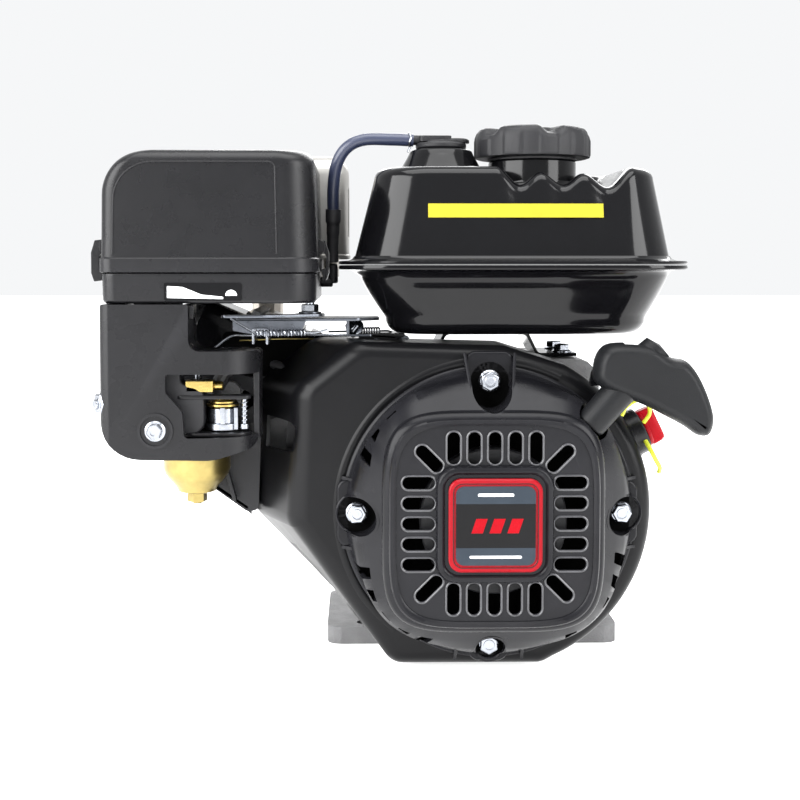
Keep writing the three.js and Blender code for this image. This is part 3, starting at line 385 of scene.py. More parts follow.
def spline(points, fine=8):
    """A smooth path through the points, by Catmull-Rom interpolation."""
    p = [Vector(q) for q in points]
    p = [2 * p[0] - p[1]] + p + [2 * p[-1] - p[-2]]
    path = []
    for i in range(1, len(p) - 2):
        for k in range(fine):
            t = k / fine
            path.append(0.5 * (2 * p[i] + (p[i + 1] - p[i - 1]) * t
                               + (2 * p[i - 1] - 5 * p[i] + 4 * p[i + 1] - p[i + 2]) * t * t
                               + (3 * p[i] - p[i - 1] - 3 * p[i + 1] + p[i + 2]) * t ** 3))
    return path + [p[-2]]


def coil(start, end, radius, turns, fine=14):
    """Points of a helical spring between two places."""
    start, end = Vector(start), Vector(end)
    axis = end - start
    side = axis.orthogonal().normalized()
    up = axis.normalized().cross(side)
    count = int(turns * fine)
    path = []
    for i in range(count + 1):
        a = 2 * math.pi * i / fine
        path.append(start + axis * (i / count) + radius * (side * math.cos(a) + up * math.sin(a)))
    return path


def fixed(made):
    """Applies the modifiers, so the mesh can be cut again."""
    bpy.context.view_layer.update()
    done = bpy.data.meshes.new_from_object(made.evaluated_get(bpy.context.evaluated_depsgraph_get()))
    made.modifiers.clear()
    old = made.data
    made.data = done
    bpy.data.meshes.remove(old)
    return made


def soften(made, width, segments=2, limit=40):
    edge = made.modifiers.new("edge", "BEVEL")
    edge.width = width * MM
    edge.segments = segments
    edge.limit_method = "ANGLE"
    edge.angle_limit = math.radians(limit)
    edge.miter_outer = "MITER_ARC"
    edge.use_clamp_overlap = True
    return fixed(made)


def polish(made, angle=32):
    made.data.polygons.foreach_set("use_smooth", [True] * len(made.data.polygons))
    made.data.set_sharp_from_angle(angle=math.radians(angle))
    made.data.update()
    return made


def carve(made, tools, how="DIFFERENCE"):
    for tool in tools:
        cut = made.modifiers.new("cut", "BOOLEAN")
        cut.operation = how
        cut.solver = "EXACT"
        cut.object = tool
    fixed(made)
    for tool in tools:
        bpy.data.objects.remove(tool)
    return made


def settle(made, body, replaces=()):
    made.modifiers.new("normals", "WEIGHTED_NORMAL").keep_sharp = True
    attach(made, body)
    if replaces:
        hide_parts(*replaces)
    return made


def bolt(shape, at, along, flange=14, across=10, height=5.5, flat=1.6, spin=0.0):
    """A hex flange bolt head with a dished top."""
    at, along = Vector(at), Vector(along)
    shape.turned([(0, 0), (flange / 2, 0), (flange / 2, flat * 0.5), (flange / 2 - 1.2, flat),
        (0, flat)], at, along, 28)
    shape.hexagon(across, flat * 0.6, height, at, along, spin)
    shape.turned([(0, height - 0.2), (across * 0.36, height - 0.2), (across * 0.3, height + 0.25),
        (across * 0.22, height - 0.05),
                  (0, height - 0.05)], at, along, 20)


# ---------------------------------------------------------------- fuel tank
SEAM = 265
TANK_X, TANK_Y = (-86, 123), (-112, 36)
TANK_CROWN, TANK_EDGE = 329.4, 8.5
TANK_CORNER = 36


def tank_ring(x0, x1, y0, y1, r):
    return even(box_outline(x0, x1, y0, y1, r, 12), 216)


def tank_lip(out, z):
    """One ring of the folded edge, standing out from the tank's plan outline."""
    ring = tank_ring(TANK_X[0] - out, TANK_X[1] + out, TANK_Y[0] - out, TANK_Y[1] + out,
        TANK_CORNER + 0.4 * out)
    return [Vector((p.x, p.y, z)) for p in ring]


WAVES = [(5.7, TANK_CROWN), (21.5, 317.4), (34.7, 325.6), (49.6, 317.4), (62.5, 324.8), (78.7, 315.8),
    (96, TANK_CROWN)]


def wave(x):
    for (xa, za), (xb, zb) in zip(WAVES, WAVES[1:]):
        if xa <= x <= xb:
            return za + (zb - za) * (0.5 - 0.5 * math.cos(math.pi * (x - xa) / (xb - xa)))
    return TANK_CROWN


def tank_top(x, y):
    """Height of the upper shell: level, with a recess round the filler, scalloped at the front."""
    floor = 317 + 12.4 * (1 - smooth_step(x, 7, 19)) + 12.4 * smooth_step(x, 83, 95)
    near = smooth_step(y, -92, -66)
    dip = wave(x) * (1 - near) + floor * near
    behind = smooth_step(y, 0, 12)
    crown = TANK_CROWN + 1.2 * (1 - ((x - 18) / 105) ** 2)
    return min(crown, dip * (1 - behind) + crown * behind)


def upper_tank():
    rings = []
    for out, rise in ((10.6, 0.4), (11, 1.4), (10.4, 2.6), (4.5, 3), (2, 4), (0.6, 6)):
        rings.append(tank_lip(out, SEAM + rise))
    foot = SEAM + 6
    levels = [(k / 12, 0.0) for k in range(13)] + [(1.0, a) for a in range(15, 91, 15)]
    for s, angle in levels:
        a = math.radians(angle)
        inward = TANK_EDGE * (1 - math.cos(a)) if angle else 0
        x0 = TANK_X[0] + 12.5 * s + inward
        x1 = TANK_X[1] - 9.5 * s - inward
        y0 = TANK_Y[0] + 10 * s + inward
        y1 = TANK_Y[1] - 10 * s - inward
        ring = []
        for p in tank_ring(TANK_X[0], TANK_X[1], TANK_Y[0], TANK_Y[1], TANK_CORNER):
            u = (p.x - TANK_X[0]) / (TANK_X[1] - TANK_X[0])
            v = (p.y - TANK_Y[0]) / (TANK_Y[1] - TANK_Y[0])
            x, y = x0 + u * (x1 - x0), y0 + v * (y1 - y0)
            top = tank_top(x, y)
            z = foot + (top - TANK_EDGE - foot) * s + (TANK_EDGE * math.sin(a) if angle else 0)
            ring.append(Vector((x, y, z)))
        rings.append(ring)
    rim = rings[-1]
    middle = Vector((20, -40, 0))
    for k in range(1, 26):
        t = k / 26
        ring = []
        for p in rim:
            x, y = p.x + (middle.x - p.x) * t, p.y + (middle.y - p.y) * t
            ring.append(Vector((x, y, tank_top(x, y))))
        rings.append(ring)
    Shape().loft(rings).make("tank_upper_shell", GLOSS_BLACK, "engine", ["fuel_tank_upper"], angle=50)


upper_tank()
boss = Shape()
boss.turned([(31, 327), (29, 329.6), (27, 332), (22.5, 340), (21.4, 342.6), (19.8, 343.9), (17, 344.3),
    (0.1, 344.3)], VENT_AT, steps=64)
boss.make("tank_vent_boss", GLOSS_BLACK, "engine", angle=50)
neck = Shape()
neck.turned([(33.5, 315), (32.2, 317.6), (30.4, 319.5), (30, 322), (30, 334.8), (29.2, 336), (27, 336),
    (26.6, 334.8), (26.6, 312)],
            CAP_AT, steps=64)
neck.make("filler_neck", GLOSS_BLACK, "engine", angle=50)


def lower_tank():
    rings = []
    floor, top = 219.3, 258
    for k in range(6):
        a = math.radians(90 * k / 5)
        rings.append((11 * (1 - math.sin(a)), floor + 11 * (1 - math.cos(a)), 1.0))
    for k in range(1, 13):
        rings.append((0, floor + 11 + (top - floor - 11) * k / 12, 1 - k / 12))
    made = []
    for inward, z, s in rings:
        x0 = TANK_X[0] + 3 + 17 * s ** 1.2 + inward
        x1 = TANK_X[1] - 1 - 12 * s ** 1.2 - inward
        y0 = TANK_Y[0] + 2 + 11 * s + inward
        y1 = TANK_Y[1] - 2 - 11 * s - inward
        ring = []
        for p in tank_ring(x0, x1, y0, y1, max(8, 32 - inward)):
            panel = (smooth_step(p.x, x0 + 26, x0 + 33) * (1 - smooth_step(p.x, x1 - 33, x1 - 26))
                     * smooth_step(z, 230, 234) * (1 - smooth_step(z, 250, 254)))
            front = 1 if p.y < y0 + 3 else 0
            ring.append(Vector((p.x, p.y + 1.3 * panel * front, z)))
        made.append(ring)
    for out, z in ((0.6, 260), (2, 261.4), (5, 262), (10.6, 262.2), (11, 263.2), (10.6, 264.8)):
        made.append(tank_lip(out, z))
    Shape().loft(made).make("tank_lower_shell", GLOSS_BLACK, "engine", ["fuel_tank_lower"], angle=50)


lower_tank()

# A plain coloured band on the tank's front, following its slope.
band = Shape()
corners = []
for x, z in ((-39, 295.6), (74, 295.6), (74, 304.6), (-39, 304.6)):
    share = (z - SEAM - 6) / (TANK_CROWN - TANK_EDGE - SEAM - 6)
    corners.append(Vector((x, TANK_Y[0] + 10 * share, z)))
band.loft([[p + Vector((0, -0.35, 0)) for p in corners], [p + Vector((0, 0.1, 0)) for p in corners]])
band.make("tank_band", YELLOW, "engine")


def fuel_cap():
    centre = Vector(CAP_AT)
    profile = [(37.5, 337.8, 0), (39.4, 338.4, 0), (40, 340, 1), (40, 349.5, 1), (39.5, 352.5, 0.6),
        (38.4, 355.2, 0.3),
               (36.6, 357.2, 0), (34, 358.2, 0), (30, 358.4, 0), (22, 357.6, 0), (8, 357.4, 0),
               (0.1, 357.4, 0)]
    steps = 240
    rings = []
    for r, z, panel in profile:
        ring = []
        for i in range(steps):
            a = 2 * math.pi * i / steps
            scallop = max(0.0, math.cos(5 * a + 0.35)) ** 2 if z > 348 and r > 28 else 0
            wide = 0.5 + 0.5 * math.tanh(14 * math.sin(10 * a))
            rr = r - 0.9 * wide * panel - 3.6 * scallop * smooth_step(z, 349, 356)
            zz = z - 4.2 * scallop * smooth_step(z, 351, 358)
            ring.append(centre + Vector((rr * math.cos(a), rr * math.sin(a), zz)))
        rings.append(ring)
    Shape().loft(rings).make("fuel_cap_cover", MATT_BLACK, "cap", ["fuel_cap"], angle=28)
    Shape().turned([(0.1, 336.4), (30.4, 336.4), (30.4, 337.6), (0.1, 337.6)], centre).make(
        "cap_gasket", RUBBER, "cap_seal", ["fuel_cap_seal"])


fuel_cap()

vent = Shape()
vent.turned([(0.1, 344.5), (16.2, 344.5), (17.4, 345.4), (17.4, 347.4), (16.4, 348.6), (11.4, 348.8),
    (11, 350.4), (0.1, 350.4)], VENT_AT, steps=48)
vent.prism(box_outline(-42, -20, -51, -39, 2.5), "z", 349.6, 353.6)
vent.turned([(0.1, 0), (9.5, 0), (9.5, 2.2), (8.4, 3), (0.1, 3)], (-17, -45, 348.5), steps=32)
vent.turned([(3.4, 0), (3.4, 20), (2.9, 20.4), (0.1, 20.4)], (-30, -45, 350.8), (-1, 0, 0), 20)
vent.make("tank_breather", MATT_BLACK, "engine", ["tank_vent"], bevel=0.4)
HOSE_PATH = [(-46, -45, 350.6), (-60, -45, 351.2), (-80, -45, 351), (-92, -44, 345.5), (-99, -41, 334),
    (-101.4, -36, 318), (-101.6, -31, 302)]
Shape().tube(HOSE_PATH, 4.2, 20).make("breather_hose", HOSE, "engine", ["vent_hose"], angle=60)
sleeve = Shape()
sleeve.tube([(-101.6, -31.4, 304), (-101.7, -30, 294), (-102, -27.5, 280), (-102, -26, 267)],
    [5.4, 5.4, 4.6, 4.2, 4.0, 4.0], 20)
sleeve.make("hose_end", RUBBER, "engine", angle=60)
clip = Shape()
clip.tube([(-48.5 + 0.6 * math.sin(k), -45 + 4.9 * math.cos(2 * math.pi * k / 18),
    350.6 + 4.9 * math.sin(2 * math.pi * k / 18)) for k in range(18)], 0.7, 8)
clip.tube([(-48.5, -47, 346), (-50, -48, 342.5)], 0.7, 8, smooth=False)
clip.make("hose_clip", ZINC, "engine")


# ---------------------------------------------------------------- air cleaner
AIR_X, AIR_Y = (-246, -110), (-128, 2)
AIR_SEAM, AIR_TOP, AIR_FLOOR = 260, 337.5, 241


def air_ring(z, left, right, front, back, grow=0.0):
    corners = [
        (AIR_X[0] + left - grow, AIR_Y[0] + front - grow, 9),
        (AIR_X[1] - right + grow, AIR_Y[0] + front - grow, 20),
        (AIR_X[1] - right + grow, AIR_Y[1] - back + grow, 12),
        (AIR_X[0] + left - grow, AIR_Y[1] - back + grow, 10),
    ]
    return [Vector((p.x, p.y, z)) for p in rounded(corners, 0, 9)]


def arc_inset(z, radius):
    above = z - (AIR_TOP - radius)
    return 0.0 if above <= 0 else radius - math.sqrt(max(0.0, radius * radius - above * above))


def air_cover():
    rings = []
    for z, grow in ((AIR_SEAM + 0.3, -0.6), (AIR_SEAM + 0.7, 0.9), (AIR_SEAM + 9, 0.9),
        (AIR_SEAM + 9.6, 0.3), (AIR_SEAM + 10, 0)):
        rings.append(air_ring(z, 0, 0, 0, 0, grow))
    heights = [AIR_SEAM + 24, AIR_TOP - 30]
    heights += [AIR_TOP - 28 * (1 - math.sin(math.radians(a))) for a in range(0, 91, 6)]
    for z in heights:
        side = 3.2 * (z - AIR_SEAM) / (AIR_TOP - AIR_SEAM)
        rings.append(air_ring(z, arc_inset(z, 28) + 0.4 * side, arc_inset(z, 9) + 0.6 * side,
            arc_inset(z, 9), arc_inset(z, 9)))
    made = Shape().loft(rings).make("air_cleaner_hood", SATIN_BLACK, None, angle=38)
    hollow = Shape()
    hollow.loft([air_ring(AIR_SEAM - 3, 2.5, 2.5, 2.5, 2.5), air_ring(AIR_TOP - 24, 3.5, 3.5, 2.5, 2.5),
        air_ring(AIR_TOP - 3, 26, 10, 11, 11)])
    carve(made, [hollow.make("hood_hollow", None)])
    polish(made, 38)
    settle(made, "air_cover", ["air_cleaner_cover"])
    # a fine raised bead round the front face
    bead = Shape()
    path = []
    for p in rounded([(AIR_X[0] + 8.5, AIR_SEAM + 12), (AIR_X[0] + 10, AIR_TOP - 8, 24),
        (AIR_X[1] - 26, AIR_TOP - 8, 4), (AIR_X[1] - 25, AIR_SEAM + 12)], 0, 8):
        path.append(Vector((p.x, AIR_Y[0] - 0.05, p.y)))
    bead.tube(path, 0.55, 8, smooth=False)
    bead.make("hood_bead", SATIN_BLACK, "air_cover", angle=60)


air_cover()
base = Shape()
base.loft([air_ring(z, 0, 0, 0, 0, g) for z, g in ((AIR_FLOOR, -2.4), (AIR_FLOOR + 0.8, -1.2),
    (AIR_FLOOR + 2, -0.7),
                                                   (AIR_SEAM - 2, -0.4), (AIR_SEAM - 0.4, -0.6),
                                                   (AIR_SEAM - 0.2, -1.4))])
base_made = base.make("air_cleaner_tray", SATIN_BLACK, None, angle=38)
inside = Shape()
inside.loft([air_ring(AIR_FLOOR + 3, 5, 5, 5, 5), air_ring(AIR_SEAM + 3, 5, 5, 5, 5)])
carve(base_made, [inside.make("tray_hollow", None)])
polish(base_made, 38)
settle(base_made, "engine")
duct = Shape()
duct.prism(rounded([(-226, 157.5, 8), (-182, 157.5, 8), (-182, 187, 8), (-197, 190, 4), (-197, 242),
    (-226, 242)], 0, 6), "y", -121, -103)
duct.block(-244, -236, -80, -50, 239.4, 242)
duct.turned([(3.6, 252), (3.6, 262), (3, 266)], (-102, -25.5, 0), steps=16)
duct.turned([(3.6, 0), (3.6, 9)], (-111, -25.5, 253), RIGHT, 16)
duct.make("intake_duct", MATT_BLACK, "engine", ["air_cleaner_base"], bevel=1.5, segments=3)

tab = Shape()
tab.prism(rounded([(-250, 238), (-243, 238), (-243, 247), (-250, 244.5)], 1, 3), "y", -86, -64)
tab.prism(rounded([(-249.5, 246), (-244, 246), (-244, 262), (-248, 262)], 1, 3), "y", -84, -66)
tab.make("tray_tab", SATIN_BLACK, "engine", bevel=0.5)

# choke mark: a plain wedge and a half disc on a dark plate
plate = Shape()
plate.prism(box_outline(-205.5, -157, 242.8, 254, 1.2, 3), "y", AIR_Y[0] - 0.15, AIR_Y[0] + 1.2)
plate.make("mark_plate", GLOSS_BLACK, "engine")
mark = Shape()
mark.prism(rounded([(-203.5, 244.6), (-168.5, 243.9), (-168.5, 245.2), (-182, 246.6), (-194, 251.4),
    (-203.5, 252)], 0.3, 2), "y", AIR_Y[0] - 0.4, AIR_Y[0])
mark.prism([Vector((-163.5 + 3.6 * math.cos(math.radians(a)),
    246 + 3.6 * math.sin(math.radians(a)))) for a in range(0, 181, 12)],
           "y", AIR_Y[0] - 0.4, AIR_Y[0])
mark.make("choke_mark", WHITE, "engine")


def latch(side, name, body, node_name, x):
    shape = Shape()
    wide = 9 if side < 0 else 5.4
    profile = [(x, 262), (x + side * 2.6, 255), (x + side * (wide - 1.8), 254.4), (x + side * wide, 260),
        (x + side * wide, 273),
               (x + side * (wide - 2.4), 281), (x + side * 1.2, 281.5), (x + side * 0.6, 276),
               (x + side * 3.6, 271), (x + side * 3.6, 263)]
    shape.prism(rounded(profile, 0.9, 3), "y", -104 if side < 0 else -77, -53)
    shape.tube([(x + side * 2.4, -106 if side < 0 else -79, 277), (x + side * 2.4, -51, 277)], 1.1, 12,
        smooth=False)
    shape.make(name, SATIN_BLACK, body, [node_name], bevel=0.45, segments=2)


latch(-1, "left_latch", "latch_left", "cover_latch_left", -246.9)
latch(1, "right_latch", "latch_right", "cover_latch_right", -109.1)
hinge_ears = Shape()
for x, side in ((-246, -1), (-110, 1)):
    for y in ((-107.5, -51.5) if side < 0 else (-80.5, -51.5)):
        hinge_ears.prism(rounded([(x - side * 1.5, 272), (x + side * 3.8, 274, 2),
            (x + side * 3.8, 280, 2), (x - side * 1.5, 283)], 0, 4), "y", y, y + 2)
hinge_ears.make("latch_ears", SATIN_BLACK, "air_cover", bevel=0.3)


# ---------------------------------------------------------------- carburettor cover and carburettor
def carburetor_cover():
    outer = Shape()
    outer.prism(rounded([(-246, 240.4, 1.5), (-247, 143, 26), (-176, 142, 30), (-148, 150, 9),
        (-147, 211, 3), (-190.5, 211, 7), (-190.5, 240.4, 1.5)], 0, 9),
                "y", -130, -88)
    body = outer.make("carburetor_hood", SATIN_BLACK, None)
    plan = Shape()
    plan.prism(rounded([(-247.5, -130.2, 9), (-146.5, -130.2, 26), (-146.5, -60), (-247.5, -60)], 0, 12),
        "z", 120, 260)
    carve(body, [plan.make("plan", None)], "INTERSECT")
    soften(body, 2.6, 4, 42)
    hollow = Shape()
    hollow.prism(rounded([(-243, 237.5, 1.5), (-243.6, 147, 22), (-176, 146, 28), (-151.5, 153, 8),
        (-150.3, 207.6, 2), (-193.8, 207.6, 5), (-193.8, 237.5)], 0, 8),
                 "y", -140, -70)
    depth = Shape()
    depth.prism(rounded([(-243.6, -126.8, 6), (-150.2, -126.8, 22), (-150.2, -50), (-243.6, -50)], 0,
        10), "z", 120, 260)
    inner = carve(hollow.make("hollow", None), [depth.make("depth", None)], "INTERSECT")
    window = Shape()
    window.prism(rounded([(-205, 196.5, 2), (-140, 196.5), (-140, 157), (-193.5, 156, 3),
        (-194.5, 173, 8), (-205, 185, 3)], 0, 5), "y", -140, -84)
    sill = Shape()
    sill.block(-229.5, -193.8, -124, -80, 230, 245)
    sill.block(-219, -157, -124, -80, 135, 147.5)
    carve(body, [inner, window.make("window", None), sill.make("sill", None)])
    soften(body, 0.7, 2, 50)
    polish(body, 15)
    settle(body, "engine", ["carburetor_cover"])
    # window posts, bolt pocket and small rib
    trim = Shape()
    trim.prism(box_outline(-151.5, -147.3, -112, -88, 1, 3), "z", 154, 199)
    trim.prism(rounded([(-190.2, 231.5), (-187.6, 231.5), (-187.6, 239.5), (-190.2, 239.5)], 0.5, 2),
        "y", -126, -122)
    trim.make("hood_trim", SATIN_BLACK, "engine", bevel=0.3)
    pocket = Shape()
    at = Vector((-211.5, -130, 161))
    pocket.turned([(10.2, 0.4), (11.3, -0.4), (11.3, -1), (9.4, -1), (9.2, 0.4)], at, BACK, 40)
    pocket.make("bolt_collar", SATIN_BLACK, "engine")
    heads = Shape()
    bolt(heads, at + Vector((0, 0.1, 0)), FRONT, 13, 9, 5.2, 1.6, 12)
    side = Vector((-244.5, -120.5, 177.5))
    outward = Vector((-0.78, -0.62, 0))
    bolt(heads, side, outward, 16.5, 12, 5.4, 1.8, 8)
    heads.turned([(3, 0), (3, 6.8), (2.4, 7.6), (0.1, 7.6)], side, outward, 16)
    heads.make("hood_bolts", ZINC, "engine")


carburetor_cover()
bowl = Shape()
bowl.turned([(24, 143.6), (24, 141.8), (22.6, 141), (22.2, 139), (22.2, 130), (21, 126), (17.5, 121.5),
    (14, 117.5), (12.5, 114.4), (9, 113.2), (0.1, 113.2)],
            (-192, -79, 0), steps=64)
bowl.hexagon(11.5, 106.9, 113.4, (-192, -79, 0), spin=15)
bowl.turned([(3, 105.6), (3, 107.2)], (-192, -79, 0), steps=16)
bowl.make("float_bowl_cup", GOLD, "engine", ["float_bowl"], angle=30)
seen = Shape()
seen.prism(box_outline(-194, -176, -121, -108, 1.2, 3), "z", 184.6, 191.6)
seen.turned([(2.9, 0), (2.9, 5), (2.4, 5.6), (0.1, 5.6)], (-176, -114, 188), RIGHT, 20)
seen.turned([(4.6, 0), (4.6, 3)], (-184, -110, 205), UP, 24)
seen.make("jet_block", BRASS, "engine", bevel=0.5)
ringed = Shape()
ringed.turned([(10.8, 0), (10.8, 1.2), (7.5, 1.2), (7.5, 0)], (-171.5, -106, 174.6), UP, 40)
ringed.turned([(9.4, 1.6), (9.4, 2.6), (6.8, 2.6), (6.8, 1.6)], (-171.5, -106, 175), UP, 40)
ringed.make("brass_rings", BRASS, "engine", angle=30)
drum = Shape()
drum.turned([(0.1, 0), (12, 0), (12, 3.8), (9.8, 4.4), (9.8, 13.4), (9, 14), (0.1, 14)],
    (-171.5, -106, 159.6), UP, 40)
drum.block(-163.4, -161, -116, -100, 160, 174)
drum.block(-172, -169, -117.4, -115, 163.5, 174)
drum.tube(coil((-157, -113, 164), (-157, -113, 181), 2.1, 6), 0.5, 8, smooth=False)
drum.turned([(0.1, 0), (3.2, 0), (3.2, 3), (1.6, 3.4), (1.6, 21), (0.1, 21)], (-157, -113, 160.4), UP, 14)
drum.make("linkage_drum", ZINC, "engine", bevel=0.3)
fins = Shape()
fins.prism(box_outline(-200, -152.5, -122, -110, 4, 6), "z", 180, 182.4)
fins.prism(box_outline(-198, -152.5, -123, -97, 11, 8), "z", 156.4, 158.6)
fins.prism(box_outline(-198, -152.5, -120, -97, 10, 8), "z", 153, 155)
fins.prism(box_outline(-189, -185, -119, -111, 1, 3), "z", 160, 179)
fins.make("linkage_shelf", SATIN_BLACK, "engine", bevel=0.6)
flange = Shape()
flange.prism(rounded([(-189, 131, 3), (-173, 132, 2), (-173, 152, 2), (-150, 152, 2), (-152, 98, 4),
    (-160, 97, 4), (-185, 115, 5)], 0, 4), "y", -66, -63.6)
flange.prism(rounded([(-176, 130, 1), (-173, 130, 1), (-166, 104, 1), (-169, 106, 1)], 0, 3), "y", -72, -64)
flange.prism(rounded([(-186, 116, 1), (-160, 98.5, 1), (-158, 100, 1), (-185, 119, 1)], 0, 3), "y", -66,
    -52.5)
flange.make("shroud_flange", MATT_BLACK, "engine", bevel=0.6)
# Air guide behind the control plate, in near-black matt: painted shade for the dark gap behind it
guide = Shape()
guide.prism(rounded([(-178, 188), (-108, 188), (-108, 219), (-178, 219)], 4, 4), "y", -46.8, -45.6)
guide.make("air_guide_painted_shade", SHADOW, "engine")


# ---------------------------------------------------------------- fan cover
def inset(points, amount):
    """The closed outline moved inwards along its corner normals (counter-clockwise points)."""
    moved = []
    for i, p in enumerate(points):
        ahead = (points[(i + 1) % len(points)] - points[i - 1]).normalized()
        moved.append(p + amount * Vector((-ahead.y, ahead.x)))
    return moved


def fan_outline(wing):
    arc = [(107 * math.cos(math.radians(a)),
        CRANK_Z + 107 * math.sin(math.radians(a))) for a in range(-66, 63, 4)]
    corners = [(-62, 4, 14), (36, 4, 14)] + arc + [(10, 213, 20), (wing + 42, 216, 22),
        (wing + 4, 186, 18), (wing, 98, 14)]
    return rounded(corners, 0, 8)


def wing_at(y):
    return -156 + 28 * (-54 - y) / 54


def fan_cover():
    rings = []
    for y in (-54, -70, -86, -100):
        rings.append(raised(fan_outline(wing_at(y)), "y", y))
    for a in range(0, 91, 10):
        inward = 10 * (1 - math.cos(math.radians(a)))
        y = -102 - 10 * math.sin(math.radians(a))
        rings.append(raised(inset(fan_outline(wing_at(y)), inward), "y", y))
    body = Shape().loft(rings).make("blower_housing", HOUSING_BLACK, None)
    hollow = Shape()
    hollow.loft([raised(inset(fan_outline(wing_at(y)), d), "y", y) for y,
        d in ((-50, 2.2), (-98, 2.4), (-106, 4), (-109.6, 8))])
    mouth = Shape()
    mouth.prism(circle(0, CRANK_Z, 78, 96), "y", -120, -100)
    dent = Shape()
    dent.loft([raised(rounded([(-170, 140, 3), (-123, 143, 5), (-121, 163, 5), (-170, 166, 3)], 0, 4),
        "y", -114),
               raised(rounded([(-178, 140, 3), (-137, 143, 5), (-135, 163, 5), (-178, 166, 3)], 0, 4),
               "y", -68)])
    carve(body, [hollow.make("blower_hollow", None), mouth.make("mouth", None), dent.make("dent", None)])
    polish(body, 34)
    settle(body, "engine", ["fan_cover"])
    # pressed step round the starter, and the liner of the air notch
    step = Shape()
    profile = [(95.5, -112.6), (97.2, -113.3), (99, -113), (100.6, -111.8), (99, -111), (95.5, -111)]
    arcs = []
    for i in range(121):
        a = math.radians(62 + 170 * i / 120)
        arcs.append([Vector((r * math.cos(a), y, CRANK_Z + r * math.sin(a))) for r, y in profile])
    step.loft(arcs)
    step.make("pressed_step", HOUSING_BLACK, "engine", angle=60)
    liner = Shape()
    liner.prism(rounded([(-133, 141), (-121, 143), (-119, 163), (-131, 165)], 3, 4), "y", -76, -73)
    liner.make("notch_liner", MATT_BLACK, "engine")


fan_cover()


# ---------------------------------------------------------------- recoil starter
def starter_ring(y, half, square, steps=192):
    power = 2 + 2.6 * square
    ring = []
    for i in range(steps):
        a = 2 * math.pi * i / steps
        r = half / (abs(math.cos(a)) ** power + abs(math.sin(a)) ** power) ** (1 / power)
        ring.append(Vector((r * math.cos(a), y, CRANK_Z + r * math.sin(a))))
    return ring


BOLT_RING = 85
BOLT_ANGLES = (0, 90, 180, 270)
VENT_ANGLES = [-19 - 9.4 * k for k in range(5)] + [203 + 9.4 * k for k in range(5)]
VENT_ANGLES += [133 + 10 * k for k in range(3)]


def around(angle, radius, y=0.0, side=0.0):
    a = math.radians(angle)
    return Vector((radius * math.cos(a) - side * math.sin(a), y,
        CRANK_Z + radius * math.sin(a) + side * math.cos(a)))


def turned_outline(outline, angle):
    c, s = math.cos(math.radians(angle)), math.sin(math.radians(angle))
    return [Vector((p.x * c - p.y * s, CRANK_Z + p.x * s + p.y * c)) for p in outline]


def slots():
    """Outline of each cooling slot: five on every side and one on each corner."""
    made = []
    for angle in BOLT_ANGLES:
        for k in range(-2, 3):
            made.append(turned_outline(box_outline(36.8, 57, 12.7 * k - 4.0, 12.7 * k + 4.0, 3.9, 7),
                angle))
    for angle in (45, 135, 225, 315):
        made.append(turned_outline(box_outline(46.8, 67.4, -4.0, 4.0, 3.9, 7), angle))
    return made


